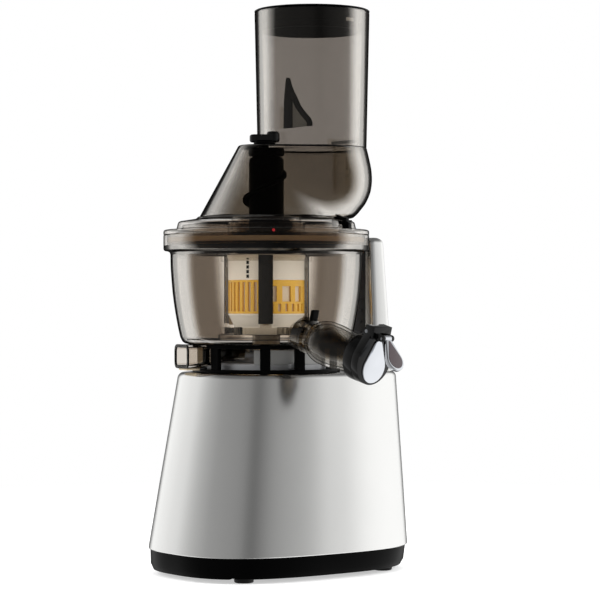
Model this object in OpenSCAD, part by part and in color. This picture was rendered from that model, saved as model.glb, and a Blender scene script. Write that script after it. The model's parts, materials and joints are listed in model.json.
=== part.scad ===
// Upright cold press juicer: motor base with a handle column, juicing bowl, lid with a wide feed tube.
// Millimetres, +Z up, front (juice spout) towards -Y, handle column towards +X, table at z = 0.

/* [Base] */
// Left to right size of the base at the lower edge of its silver shell
base_w = 208; // [204:1:212]
// Front to back size of the base at the lower edge of its silver shell
base_d = 152; // [150:1:156]
// Left to right size of the base at its deck
deck_w = 178; // [174:1:182]
// Front to back size of the base at its deck
deck_d = 122; // [118:1:126]
// How far the deck's middle is shifted towards the handle column
deck_shift = 9; // [7:0.5:10]
// Squareness of the base outline, 2 is an ellipse
base_n = 2.8; // [2.6:0.1:3]
// Height of the deck above the table
deck_z = 158.5; // [158.5:0.5:158.5]
// Height of the silver shell's lower edge
shell_z = 20; // [18:0.5:21]
// Wall of the silver shell
shell_wall = 2.8; // [2.4:0.1:3.2]
// Height of the rubber feet
foot_h = 3.6; // [3:0.2:4]
// Distance of the base's middle behind the middle of the whole depth
base_y = 41.9; // [41:0.1:43]

/* [Handle column] */
// Top of the column above the table
column_top = 266; // [262:1:268]
// Inner face of the column, measured from the base's middle
column_x = 77; // [76:0.5:78]
// Front to back size of the column near the deck
column_d = 52; // [48:1:56]
// Front to back size of the column near its top
column_top_d = 40; // [36:1:42]
// Rounding of the column's edges
column_r = 5; // [4:0.5:6]

/* [Drive] */
// Drive axis, measured from the base's middle towards the column
drum_x = -12.5; // [-13:0.5:-12]
// Module of the reduction gears
gear_m = 0.8; // [0.8:0.1:0.8]
// Teeth of each small reduction gear
pinion_teeth = 14; // [14:1:14]
// Teeth of each large reduction gear
wheel_teeth = 70; // [70:14:70]
// Radius of the drive shaft
shaft_r = 8; // [7.5:0.1:8]
// Size of the hexagonal drive across its flats
hex_af = 11; // [10:0.5:12]

/* [Bowl] */
// Outer radius of the bowl's rim
rim_r = 81.5; // [81:0.5:82]
// Top of the bowl's rim
rim_z = 267; // [267:0.5:267]
// Wall of the bowl
bowl_wall = 2.8; // [2.4:0.1:3]
// Underside of the bowl's floor
floor_z = 180.5; // [180:0.5:181]

/* [Strainer and brush] */
// Outer radius of the amber strainer band
strainer_r = 30.2; // [30:0.1:30.4]
// Slots in each barred quarter of the strainer
slots = 9; // [7:1:11]
// Module of the brush gears
brush_m = 1; // [1:0.1:1]
// Teeth on the foot of the auger
sun_teeth = 40; // [40:1:40]
// Teeth of the two small brush gears
idler_teeth = 12; // [12:1:12]
// Teeth inside the brush's foot ring
ring_teeth = 64; // [64:1:64]
// Width of the brush's arms
arm_w = 9; // [8:0.5:10]

/* [Auger] */
// Radius of the auger's flights inside the strainer
flight_r = 24.3; // [23:0.1:24.6]
// Rise of a flight in one turn
flight_pitch = 40; // [36:1:44]

/* [Juice spout] */
// Direction of the spout, from +X
spout_az = -82; // [-84:1:-80]
// Fall of the spout below level
spout_tilt = 15; // [13:1:17]
// Outer radius of the spout at its belly
spout_r = 17; // [16.5:0.1:17.2]
// Length of the spout from the bowl's wall
spout_len = 64; // [60:1:66]
// Radius of the cap on the spout
cap_r = 18; // [17.5:0.5:18]
// Lean of the cap's lever away from upright
lever_lean = 25; // [20:1:30]

/* [Pulp outlet] */
// Direction of the pulp outlet, from +X
pulp_az = 166; // [164:1:168]
// Reach of the pulp outlet from the drive axis
pulp_reach = 72; // [71:1:74]
// Width of the pulp outlet
pulp_w = 30; // [29:1:31]

/* [Lid] */
// Distance of the feed tube's axis from the drive axis
tube_off = 45.5; // [45:0.5:46]
// Outer radius of the feed tube at its mouth
tube_r = 46.3; // [46:0.1:47]
// Outer radius of the feed tube at its foot
tube_foot_r = 43.9; // [43.5:0.1:44.2]
// Wall of the feed tube
tube_wall = 2.7; // [2.4:0.1:3]
// Height of the feed tube's mouth
tube_top = 446.6; // [440:0.2:450]
// Height of the shelf beside the feed tube
shelf_z = 337.7; // [337.7:0.1:337.7]

/* [Hidden] */
$fn = 64;

// Colours of the materials
silver = "#c9cacb";
dark = "#1c1b1b";
grip_grey = "#4a4a4b";
rubber = "#151515";
steel = "#9fa2a6";
smoke = "#5a504488";
beige = "#d8c8ae";
amber = "#e6a425";
chrome = "#dfe2e6";
gear_white = "#d9d6cc";
copper = "#b06a35";

// Heights inside the base
floor_t = 2.6;
stator_z = 50;
stator_h = 42;
stator_r = 45;
rotor_r = 24;
tip_r = 3.2;
motor_z0 = 38;
motor_z1 = 105;
case_r = 34;
case_t = 3;
stage1_z = 111;
stage1_h = 8;
stage2_z = 121;
stage2_h = 14;
gear_lid_z = 137;
gear_lid_t = 4;
deck_t = 3;
fit = 0.05;
counter_x = drum_x + gear_m * (pinion_teeth + wheel_teeth) / 2;

// Places on the base
foot_x = 68;
foot_y = 47;
foot_r = 7.5;
boss_x = 80;
boss_y = 50;
ear_x = 12;
ear_y = 36;
gland_x = -45;
gland_z = 36;
gland_r = 3.5;
switch_z = 66;
rocker_y = -1.5;
tube_x = drum_x + tube_off;

// Bowl and brush
hub_r = 22;
hub_z = 174;
flange_r = 47;
flange_z = 166;
plateau_r = 38;
plateau_z = 188;
gear_z = plateau_z + 0.4;
gear_h = 5.2;
idler_c = brush_m * (sun_teeth + idler_teeth) / 2;
band_z0 = 204.6;
band_z1 = 231;
ring_top = 251;
foot_ring_r = 58.5;
leg_angles = [5, 60, 112, 190, 233, 261, 309];
spout_root = [-12.7, -71.2, 188];
neck_r = 10.5;
mouth_r = 14.3;
spout_wall = 2.2;

function mix(a, b, t) = a + (b - a) * t;
function base_t(z) = (z - shell_z) / (deck_z - shell_z);
function base_a(z) = mix(base_w, deck_w, base_t(z)) / 2;
function base_b(z) = mix(base_d, deck_d, base_t(z)) / 2;
function base_cx(z) = deck_shift * base_t(z);
function squircle(a, b, n, steps) = [
  for (i = [0:steps - 1]) let (c = cos(360 * i / steps), s = sin(360 * i / steps))
    [a * sign(c) * pow(abs(c), 2 / n), b * sign(s) * pow(abs(s), 2 / n)]
];

module at_base() translate([0, base_y, 0]) children();
module at_drum() translate([drum_x, base_y, 0]) children();
module at_counter() translate([counter_x, base_y, 0]) children();
module at_tube() translate([tube_x, base_y, 0]) children();
module at_spout() at_drum() translate(spout_root) rotate([0, spout_tilt, spout_az]) children();
module at_pulp() at_drum() rotate(pulp_az) children();
module at_back(x, z) at_base() translate([x, base_b(z), z])
  rotate([atan2((base_d - deck_d) / 2, deck_z - shell_z), 0, 0]) children();
module ring(r1, r0, z0, z1) difference() {
  translate([0, 0, z0]) cylinder(r = r1, h = z1 - z0);
  translate([0, 0, z0 - 1]) cylinder(r = r0, h = z1 - z0 + 2);
}
module disc(r, z0, z1) translate([0, 0, z0]) cylinder(r = r, h = z1 - z0);
module corners(x, y) for (i = [-1, 1], j = [-1, 1]) translate([i * x, j * y, 0]) children();
module mirrored_y() for (j = [0, 1]) mirror([0, j, 0]) children();

// One level slice of the base outline, pulled in by inset
module base_slice(z, inset) translate([base_cx(z), 0, z]) linear_extrude(0.01)
  polygon(squircle(base_a(z) - inset, base_b(z) - inset, base_n, 64));
module base_loft(z0, z1, inset) hull() {
  base_slice(z0, inset);
  base_slice(z1 - 0.01, inset);
}

// ---- Gears: flanks follow the involute at the root, pitch and tip circles
function inv(a) = tan(a) * 180 / PI - a;
function flank_angle(r, rb) = r > rb ? acos(rb / r) : 0;
function half_tooth(r, rp, n, play) = let (rb = rp * cos(20))
  90 / n - play / rp * 90 / PI + inv(20) - inv(flank_angle(r, rb));
function gear_points(n, m, play, low, high) = let (rp = n * m / 2, radii = [rp - low * m, rp, rp + high * m])
  [for (i = [0:n - 1], s = [-1, 1], k = [0:2])
    let (r = radii[s < 0 ? k : 2 - k], a = 360 * i / n + s * half_tooth(r, rp, n, play))
      [r * cos(a), r * sin(a)]];
module spur_gear(n, m, h, play = 0.16) linear_extrude(h) polygon(gear_points(n, m, play, 1.2, 0.9));

// ---- Base
module column_shape(inset) hull() for (side = [-1, 1], level = [0, 1]) {
  z = level ? column_top - column_r : deck_z - 10;
  y = side * ((level ? column_top_d : column_d) / 2 - column_r);
  out = base_cx(z) + base_a(z);
  translate([column_x + column_r, y, z]) sphere(r = column_r - inset, $fn = 24);
  translate([out - column_r - 1.5, y, z]) sphere(r = column_r - inset, $fn = 24);
  translate([out - column_r, y / 2, z]) sphere(r = column_r - inset, $fn = 24);
}

module base_housing() color(silver) difference() {
  at_base() union() {
    difference() {
      union() {
        hull() {
          base_slice(shell_z, 0);
          base_slice(deck_z - 4, 0);
          base_slice(deck_z - 1.2, 0.9);
          base_slice(deck_z - 0.01, 3.4);
        }
        column_shape(0);
      }
      base_loft(shell_z - 1, deck_z - deck_t, shell_wall);
    }
    intersection() {
      corners(boss_x, boss_y) disc(6, shell_z + 6, shell_z + 24);
      base_loft(shell_z, shell_z + 30, 1);
    }
  }
  at_base() {
    above_deck();
    deck_plug(0.2, deck_z - deck_t - 1, deck_z + 1);
    corners(boss_x, boss_y) disc(1.9, shell_z, shell_z + 20);
    translate([gland_x, 0, gland_z]) rotate([-90, 0, 0]) cylinder(r = 7, h = 100);
  }
  at_back(0, switch_z) translate([-15.2, -6, -10.2]) cube([30.4, 12, 20.4]);
}
module above_deck() translate([column_x - 2, -column_d, deck_z]) cube([40, 2 * column_d, column_top]);
module handle_column() color(silver) at_base() difference() {
  intersection() {
    column_shape(0);
    above_deck();
  }
  translate([column_x - 3, -14, deck_z + 6]) cube([5.5, 28, 92]);
  translate([column_x, -11, deck_z + 10]) cube([12.5, 22, 84]);
}
// Outline of the opening in the shell's top, which the deck plate fills
module deck_plug(gap, z0, z1) translate([deck_shift - 6, 0, z0]) linear_extrude(z1 - z0)
  polygon(squircle(deck_w / 2 - 16 + gap, deck_d / 2 - 7 + gap, base_n, 64));

module column_grip() color(grip_grey) at_base() intersection() {
  union() {
    translate([column_x, -14, deck_z + 6]) cube([2.5, 28, 92]);
    for (i = [0:7]) translate([column_x - 0.6, -9, deck_z + 20 + 9 * i]) cube([2, 18, 2.4]);
  }
  translate([column_x - 1, -14, deck_z + 6]) cube([4, 28, 92]);
}

module top_deck() color(dark) at_base() difference() {
  union() {
    deck_plug(0, deck_z - deck_t, deck_z);
    intersection() {
      deck_plug(6, deck_z - 2 * deck_t, deck_z - deck_t);
      base_loft(deck_z - 3 * deck_t, deck_z, shell_wall + 0.3);
    }
  }
  translate([drum_x, 0, 0]) disc(20, deck_z - 10, deck_z + 1);
}

module seat_hub() color("#8b8c8e") at_drum() difference() {
  union() {
    rotate_extrude() polygon([
      [shaft_r + fit, deck_z - 10], [20, deck_z - 10], [20, deck_z], [flange_r, deck_z],
      [flange_r, flange_z - 1.5], [flange_r - 1.5, flange_z], [hub_r + 3, flange_z],
      [hub_r, flange_z + 3], [hub_r, hub_z - 1.5], [hub_r - 1.5, hub_z], [shaft_r + fit, hub_z]]);
    for (a = [20, 100, 260]) rotate(a) translate([flange_r - 4, -4, flange_z - 4]) cube([7, 8, 4]);
  }
  disc(12, deck_z - 11, deck_z - 1);
}

module shaft_bearings() color("#8d9096") at_drum() {
  for (z = [motor_z0, motor_z1 - 6]) ring(11, 5 + fit, z, z + 6);
  ring(12, shaft_r + fit, deck_z - 10, deck_z - 1);
}

module bottom_cover() color(dark) difference() {
  at_base() union() {
    difference() {
      hull() {
        base_slice(foot_h, 6.5);
        base_slice(foot_h + 5, 3.6);
        base_slice(shell_z - 0.01, 1.6);
      }
      base_loft(foot_h + floor_t, shell_z + 1, 6.6);
    }
    difference() {
      base_loft(shell_z - 3, shell_z + 5, shell_wall + 0.3);
      base_loft(shell_z - 4, shell_z + 6, shell_wall + 4);
      corners(boss_x, boss_y) disc(8, shell_z - 4, shell_z + 6);
    }
    intersection() {
      corners(boss_x, boss_y) disc(6, foot_h + 1, shell_z + 6);
      base_loft(foot_h, shell_z + 7, shell_wall + 0.3);
    }
    for (x = [40, 84], y = [-18, 34]) translate([x, y, 0]) disc(3, foot_h + 1, 12);
  }
  at_base() {
    corners(boss_x, boss_y) {
      disc(4, foot_h - 1, foot_h + 5);
      disc(2.1, foot_h, shell_z + 7);
    }
    corners(foot_x, foot_y) disc(foot_r - 1.5, foot_h - 1, foot_h + 1.2);
  }
  at_drum() for (a = [0:30:330]) rotate(a) translate([18, -1.5, foot_h - 1]) cube([18, 3, floor_t + 2]);
}

module rubber_feet() color(rubber) at_base() corners(foot_x, foot_y) rotate_extrude()
  polygon([[0, 0], [foot_r - 1, 0], [foot_r, 0.8], [foot_r, foot_h], [foot_r - 1.5, foot_h],
    [foot_r - 1.5, foot_h + 1.2], [0, foot_h + 1.2]]);

module case_screws() color(steel) at_base() corners(boss_x, boss_y) difference() {
  union() {
    disc(3.6, foot_h + 2.4, foot_h + 5);
    disc(1.9, foot_h + 4, shell_z + 18);
  }
  translate([-2.6, -0.5, foot_h + 2]) cube([5.2, 1, 1.4]);
  translate([-0.5, -2.6, foot_h + 2]) cube([1, 5.2, 1.4]);
}

// ---- Motor and reduction gears
module motor_cup(z0, z1, plate_z) difference() {
  union() {
    ring(stator_r + 2.4, stator_r, z0, z1);
    disc(stator_r + 1, plate_z, plate_z + 3);
    disc(15, plate_z - 1.5, plate_z + 4.5);
  }
  for (a = [0:45:315]) rotate(a) translate([22, -5, plate_z - 1]) cube([16, 10, 5]);
  disc(11, plate_z - 3, plate_z + 6);
}
module motor_case() color(steel) at_drum() {
  motor_cup(motor_z0, stator_z + stator_h / 2 - fit, motor_z0 + 1.5);
  motor_cup(stator_z + stator_h / 2, motor_z1, motor_z1 - 4.5);
}

module motor_stator() color("#6c6d70") at_drum() difference() {
  ring(stator_r, rotor_r + 0.4, stator_z, stator_z + stator_h);
  for (a = [0:30:330]) rotate(a) translate([28, -3, stator_z - 1]) cube([10, 6, stator_h + 2]);
}
module stator_windings() color(copper) at_drum() {
  for (z = [stator_z - 5, stator_z + stator_h]) translate([0, 0, z]) rotate_extrude()
    polygon([[26, 0], [40, 0], [40, 3], [37, 5], [29, 5], [26, 3]]);
  for (a = [0:30:330]) rotate(a) translate([28, -3, stator_z]) cube([10, 6, stator_h]);
}
module motor_rotor() color(steel) at_drum() {
  disc(rotor_r, stator_z, stator_z + stator_h);
  disc(5, 25, stage1_z - 1.5);
  disc(tip_r, 60, stage1_z + stage1_h + 0.6);
}
module cooling_fan() color("#e7e4da") at_drum() {
  difference() {
    union() {
      disc(9, 26, 35);
      disc(36, 26, 27.6);
      for (a = [0:36:324]) rotate(a) translate([10, -0.8, 26]) cube([25, 1.6, 9]);
      ring(36, 34.4, 26, 35);
    }
    disc(5, 20, 40);
  }
}
module motor_pinion() color(gear_white) at_drum() translate([0, 0, stage1_z]) difference() {
  spur_gear(pinion_teeth, gear_m, stage1_h);
  disc(tip_r, -1, stage1_h + 1);
}
// Round-ended box around both gear axes
module gear_room(r, z0, z1) {
  at_drum() disc(r, z0, z1);
  at_counter() disc(r, z0, z1);
  translate([drum_x, base_y - r, z0]) cube([counter_x - drum_x, 2 * r, z1 - z0]);
}
module gearbox_ears(r, z0, z1) for (s = [-1, 1]) {
  at_drum() translate([-ear_x, s * ear_y, 0]) disc(r, z0, z1);
  at_counter() translate([ear_x, s * ear_y, 0]) disc(r, z0, z1);
}
module gearbox_case() color("#a9abae") difference() {
  union() {
    gear_room(case_r, motor_z1, gear_lid_z);
    gearbox_ears(7, gear_lid_z - 6, gear_lid_z);
  }
  gear_room(case_r - case_t, motor_z1 + case_t, gear_lid_z + 1);
  at_drum() disc(6.5, motor_z1 - 1, motor_z1 + case_t + 1);
  at_counter() disc(3, motor_z1 - 1, motor_z1 + case_t + 1);
}
module gearbox_lid() color("#a9abae") difference() {
  union() {
    gear_room(case_r, gear_lid_z, gear_lid_z + gear_lid_t);
    gearbox_ears(7, gear_lid_z, gear_lid_z + gear_lid_t);
  }
  at_drum() disc(shaft_r + fit, gear_lid_z - 1, gear_lid_z + gear_lid_t + 1);
  at_counter() disc(3, gear_lid_z - 1, gear_lid_z + gear_lid_t + 1);
}
module counter_pin() color(steel) at_counter() disc(3, motor_z1, gear_lid_z + gear_lid_t);
module counter_gear() color(gear_white) at_counter() difference() {
  union() {
    translate([0, 0, stage1_z]) rotate(180 / wheel_teeth) spur_gear(wheel_teeth, gear_m, stage1_h);
    translate([0, 0, stage1_z]) rotate(180 / pinion_teeth)
      spur_gear(pinion_teeth, gear_m, stage2_z + stage2_h - stage1_z);
    disc(4.4, motor_z1 + case_t + 0.2, gear_lid_z - 0.2);
  }
  disc(3 + fit, motor_z1, gear_lid_z + 1);
}
module output_gear() color(gear_white) at_drum() difference() {
  union() {
    translate([0, 0, stage2_z]) spur_gear(wheel_teeth, gear_m, stage2_h);
    disc(14, stage2_z, gear_lid_z - 0.2);
  }
  disc(shaft_r, stage2_z - 1, gear_lid_z + 1);
}
module drive_shaft() color(steel) at_drum() {
  disc(shaft_r, stage2_z, hub_z + 2);
  translate([0, 0, hub_z + 2]) rotate(30) cylinder(r = hex_af / 2 / cos(30), h = 52, $fn = 6);
  translate([0, 0, hub_z + 53]) cylinder(r1 = hex_af / 2 - 0.2, r2 = hex_af / 2 - 2.5, h = 4);
}
module motor_dampers() color(rubber) gearbox_ears(5.5, gear_lid_z + gear_lid_t, deck_z - 2 * deck_t);

// ---- Electrics
module control_board() color("#2f6b3c") at_base() {
  translate([36, -22, 12]) cube([52, 60, 1.6]);
  for (i = [0:3]) translate([42 + 11 * i, -14, 13.6]) cube([7, 9, 5 + i]);
  translate([40, 2, 13.6]) cube([16, 12, 9]);
}
module run_capacitor() color("#d9dadb") at_base() translate([72, 20, 0]) {
  disc(11, 13.6, 62);
  for (x = [-4, 4]) translate([x - 1, -2.5, 62]) cube([1.2, 5, 6]);
}
module switch_bezel() color(dark) at_back(0, switch_z) difference() {
  union() {
    translate([-17.5, 0, -12.5]) cube([35, 1.6, 25]);
    translate([-15, -20, -10]) cube([30, 20.5, 20]);
  }
  translate([-12.6, -8, -8.4]) cube([25.2, 12, 16.8]);
  rocker_pips(1.5 + fit);
}
module power_rocker() color("#26282b") at_back(0, switch_z) {
  rotate([90, 0, 90]) translate([0, 0, -12]) linear_extrude(24)
    polygon([[-5.5, -3.5], [-5.5, 3.5], [1.8, 7.3], [2.6, 6.9], [1, 0], [2.6, -6.9], [1.8, -7.3]]);
  rocker_pips(1.5);
}
module rocker_pips(r) translate([-13.8, rocker_y, 0]) rotate([0, 90, 0]) cylinder(r = r, h = 27.6);
module cord_gland() color(rubber) at_base()
  translate([gland_x, 0, gland_z]) rotate([-90, 0, 0]) difference() {
  union() {
    disc(7, 61.5, 76.5);
    disc(9, 61.5, 65);
    translate([0, 0, 73.1]) cylinder(r1 = 8.6, r2 = 7.6, h = 3.4);
  }
  disc(gland_r, 60, 82);
}
module lid_switch() color("#20242c") at_base() translate([column_x + 2.5, -8, deck_z + 66]) {
  cube([9.5, 16, 22]);
}

// ---- Bowl
bowl_outer = [[62, floor_z], [66, floor_z + 1.5], [68.2, 186], [69.8, 193], [71.6, 202.6], [73.1, 212],
  [74.3, 221.6], [75.1, 231], [75.8, 241], [76, 252], [78, 253.6], [rim_r - 0.8, 254.4], [rim_r, 255.4]];
bowl_inner = [for (p = bowl_outer) if (p.y > 184 && p.y < 253) [p.x - bowl_wall, p.y]];
channel_z = 184;
module bowl_cavity(top) rotate_extrude() polygon(concat(
  [[0, channel_z], [63, channel_z]], bowl_inner, [[rim_r - 3, 257], [rim_r - 3, top], [0, top]]));
module bowl_shell() difference() {
  rotate_extrude() polygon(concat([[0, floor_z]], bowl_outer, [[rim_r, rim_z], [0, rim_z]]));
  bowl_cavity(rim_z + 1);
}
module spout_rod(r, x0, x1) at_spout() translate([x0, 0, 0]) rotate([0, 90, 0]) cylinder(r = r, h = x1 - x0);
module juicing_bowl() color(smoke) difference() {
  union() {
    at_drum() bowl_shell();
    at_drum() disc(plateau_r, floor_z, plateau_z);
    at_drum() disc(17, hub_z + 0.6, floor_z);
    difference() {
      spout_rod(neck_r + 2.7, -10, 1.4);
      at_drum() bowl_cavity(240);
    }
    at_drum() for (s = [-1, 1]) translate([0, s * idler_c, 0]) disc(2, plateau_z, gear_z + gear_h);
  }
  at_drum() disc(11, hub_z - 1, plateau_z + 1);
  spout_rod(neck_r, -8, 2);
  at_pulp() translate([23, -9, floor_z - 1]) cube([7.5, 18, 12]);
}
// Spout: a neck in the bowl's wall, a round belly behind it and a straight mouth, as [along, radius]
belly_line = [[8, 11], [10, 13], [13, 14.9], [17, 16.3], [21, 16.9], [26, spout_r], [31, 16.9], [37, 16.3],
  [44, 15.4], [51, 14.7], [56, mouth_r], [spout_len, mouth_r]];
module juice_spout() color(smoke) difference() {
  union() {
    at_spout() rotate([0, 90, 0]) rotate_extrude() polygon(concat(
      [[neck_r - spout_wall, -8], [neck_r, -8], [neck_r, 1.4], [neck_r + 2.7, 1.4],
        [neck_r + 2.7, 4], [neck_r, 4.6]],
      [for (p = belly_line) [p.y, p.x]],
      [for (i = [len(belly_line) - 1:-1:0]) [belly_line[i].y - spout_wall, belly_line[i].x]]));
    at_spout() difference() {
      translate([1.4, -3.8, 8]) cube([2.6, 7.6, 13]);
      rotate([0, 90, 0]) cylinder(r = neck_r - 1, h = 10);
    }
  }
  at_drum() bowl_cavity(240);
}
module bowl_foot() color(dark) at_drum() difference() {
  union() {
    ring(foot_ring_r, foot_ring_r - 4.5, deck_z, deck_z + 2.8);
    for (a = leg_angles) rotate(a) translate([foot_ring_r - 4.4, -4, deck_z]) cube([4, 8, floor_z - deck_z]);
    ring(foot_ring_r, foot_ring_r - 5.5, floor_z - 3, floor_z);
  }
  rotate(pulp_az) translate([30, -pulp_w / 2 - 0.2, deck_z + 3]) cube([40, pulp_w + 0.4, 30]);
}
module shaft_seal() color(beige) at_drum() rotate_extrude() polygon([
  [shaft_r + 0.3, hub_z + 0.6], [11, hub_z + 0.6], [11, plateau_z], [shaft_r + 1.5, plateau_z],
  [shaft_r + 1.5, hub_z + 3], [shaft_r + 0.3, hub_z + 2]]);

module pulp_profile(wall) polygon([[24 + wall, 168.4 + wall], [48, 166.4 + wall], [54, 162 + wall],
  [pulp_reach + 2 * wall, 162 + wall], [pulp_reach + 2 * wall, floor_z - wall], [24 + wall, floor_z - wall]]);
module pulp_tunnel(wall) translate([20, 0, 0]) rotate([90, 0, 90]) linear_extrude(pulp_reach)
  translate([0, (162 + floor_z) / 2]) offset(r = 5 - wall, $fn = 32)
    square([pulp_w - 10, floor_z - 172], center = true);
module pulp_hollow(wall) intersection() {
  rotate([90, 0, 0]) translate([0, 0, -pulp_w / 2]) linear_extrude(pulp_w) pulp_profile(wall);
  pulp_tunnel(wall);
}
module pulp_chute() color(smoke) at_pulp() difference() {
  pulp_hollow(0);
  pulp_hollow(2);
  translate([23, -9, floor_z - 4]) cube([7.5, 18, 12]);
  rotate(-pulp_az) disc(hub_r + 2.4, 160, 182);
}
module pulp_plug() color(beige) at_pulp() difference() {
  translate([59.5, -9, 160.4]) cube([11, 18, 1.6]);
  translate([61, -7, 160]) cube([8, 14, 0.9]);
}

// ---- Spout cap, in the spout's own frame with +X out of its mouth
pin_x = spout_len + 2.5;
pin_z = 22.3;
pin_eye = 2.9;
cap_x = spout_len + 1.3;
cap_front = spout_len + 8;
hood_w = 19;
hood_top = 27.2;
lever_x = spout_len + 15.5;
lever_z = 20;
lever_eye = 2.4;
module across_y(x, z, r, w) translate([x, w / 2, z]) rotate([90, 0, 0]) cylinder(r = r, h = w);
module spout_collar() color(dark) at_spout() difference() {
  union() {
    translate([spout_len - 7.5, 0, 0]) rotate([0, 90, 0]) cylinder(r = cap_r, h = 8.5);
    translate([0, 4, 0]) rotate([90, 0, 0]) linear_extrude(8) polygon([
      [spout_len - 6, 14], [cap_x - 0.3, 14], [cap_x - 0.3, pin_z - pin_eye], [pin_x, pin_z - pin_eye],
      [pin_x, pin_z], [pin_x - 2, pin_z + 2.1], [spout_len - 6, 19]]);
    across_y(pin_x, pin_z, pin_eye, 8);
  }
  translate([spout_len - 8, 0, 0]) rotate([0, 90, 0]) cylinder(r = mouth_r, h = 12);
  across_y(pin_x, pin_z, 1.5, 20);
}
module cap_pin() color(steel) at_spout() across_y(pin_x, pin_z, 1.5, hood_w - 0.4);
module cap_flap() color(dark) at_spout() difference() {
  union() {
    translate([cap_x, 0, 0]) rotate([90, 0, 90]) linear_extrude(cap_front - cap_x) hull() {
      circle(r = cap_r);
      translate([-hood_w / 2, cap_r]) square([hood_w, 2.6]);
    }
    translate([cap_x, -hood_w / 2, cap_r]) cube([9.1, hood_w, hood_top - cap_r]);
    mirrored_y() {
      translate([cap_front, 3.7, lever_z - lever_eye]) cube([lever_x - cap_front, 2.3, 2 * lever_eye]);
      translate([lever_x, 6, lever_z]) rotate([90, 0, 0]) cylinder(r = lever_eye, h = 2.3);
    }
  }
  translate([cap_x - 1, -4.25, pin_z - pin_eye - 0.3]) cube([8, 8.5, 6.4]);
  translate([cap_x - 1, -4.25, pin_z]) cube([4, 8.5, 8]);
  across_y(pin_x, pin_z, 1.5 + fit, 20);
  across_y(lever_x, lever_z, 1.1, 20);
}
module cap_seal() color("#e8e4da") at_spout() translate([spout_len + 0.1, 0, 0]) rotate([0, 90, 0])
  cylinder(r = mouth_r - 0.6, h = 1.2);
module cap_plate() color(chrome) at_spout() translate([cap_front + 0.01, 0, 0]) rotate([90, 0, 90])
  linear_extrude(1.2) hull() {
    translate([0, -4.8]) circle(r = 11.6);
    translate([0, 12]) circle(r = 4.5);
  }
module lever_pin() color(steel) at_spout() across_y(lever_x, lever_z, 1.1, 12);
module cap_lever() color(chrome) at_spout() translate([lever_x, 0, lever_z])
  rotate([0, -spout_tilt - lever_lean, 0]) difference() {
    union() {
      across_y(0, 0, lever_eye, 7);
      translate([-1.9, 0, 0]) rotate([90, 0, 90]) linear_extrude(3.8) hull() {
        circle(r = 2.3);
        translate([0, -18]) circle(r = 8.3);
      }
    }
    across_y(0, 0, 1.1 + fit, 20);
  }

// ---- Strainer, brush and auger
module pinion_gaps(w) for (s = [-1, 1])
  translate([0, s * idler_c, 0]) disc(w, plateau_z - 1, gear_z + gear_h + 0.4);
module strainer_base_ring() color(beige) at_drum() difference() {
  union() {
    rotate_extrude() polygon([[23.7, 195], [25.6, 195], [29.2, 203], [strainer_r, 203.6],
      [strainer_r, band_z0],
      [27, band_z0]]);
    ring(25.6, 22.4, plateau_z, 195);
  }
  pinion_gaps(7.6);
  rotate(pulp_az) translate([20, -9, plateau_z - 1]) cube([12, 18, 7]);
}
module strainer_band() color(amber) at_drum() difference() {
  ring(strainer_r, strainer_r - 2, band_z0, band_z1);
  for (q = [143, 323], i = [0:slots - 1]) rotate(q + 6 + i * 78 / (slots - 1))
    translate([strainer_r - 4, -1.3, band_z0 + 1.8]) cube([6, 2.6, band_z1 - band_z0 - 3.6]);
  for (q = [233, 53]) {
    for (i = [0:6]) rotate(q + 9 + i * 12) translate([strainer_r - 4, -1.3, band_z0 + 1.8]) cube([6, 2.6, 6]);
    for (i = [0:3]) rotate(q + 9 + i * 24) translate([strainer_r - 4, -4, band_z0 + 9.5]) cube([6, 8, 12]);
  }
}
module strainer_top_ring() color(beige) at_drum() rotate_extrude() polygon([
  [27, band_z1], [strainer_r, band_z1], [strainer_r, ring_top - 3], [31, ring_top - 2.5], [31, ring_top],
  [27, ring_top]]);
module strainer_mesh() color("#b9b6ae") at_drum() ring(strainer_r - 2, strainer_r - 2.5, band_z0, band_z1);

brush_turns = [113, 233, 353];
module brush_frame() color(smoke) at_drum() {
  difference() {
    disc(36.6, gear_z, gear_z + gear_h);
    translate([0, 0, gear_z - 1]) rotate(180 / ring_teeth) linear_extrude(gear_h + 2)
      polygon(gear_points(ring_teeth, brush_m, -0.3, 0.85, 1.25));
  }
  for (a = brush_turns) rotate(a) {
    translate([33.6, -arm_w / 2, gear_z + gear_h]) cube([2, arm_w, ring_top - gear_z - gear_h - 5]);
    translate([33.6, -arm_w / 2, gear_z + gear_h]) cube([2.4, arm_w, 3]);
  }
  ring(36, 33, ring_top - 5, ring_top);
}
module brush_wipers() color("#c8c4ba") at_drum() for (a = brush_turns) rotate(a) {
  translate([31.4, -0.9, gear_z + gear_h + 2]) cube([2.2, 1.8, 46]);
  translate([32.6, -2.4, gear_z + gear_h + 2]) cube([1, 4.8, 46]);
}
module brush_pinion(s) color(gear_white) at_drum() translate([0, s * idler_c, gear_z]) difference() {
  rotate(180 / idler_teeth) spur_gear(idler_teeth, brush_m, gear_h, 0.2);
  disc(2 + fit, -1, gear_h + 1);
}
module brush_pinion_front() brush_pinion(-1);
module brush_pinion_back() brush_pinion(1);

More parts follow.
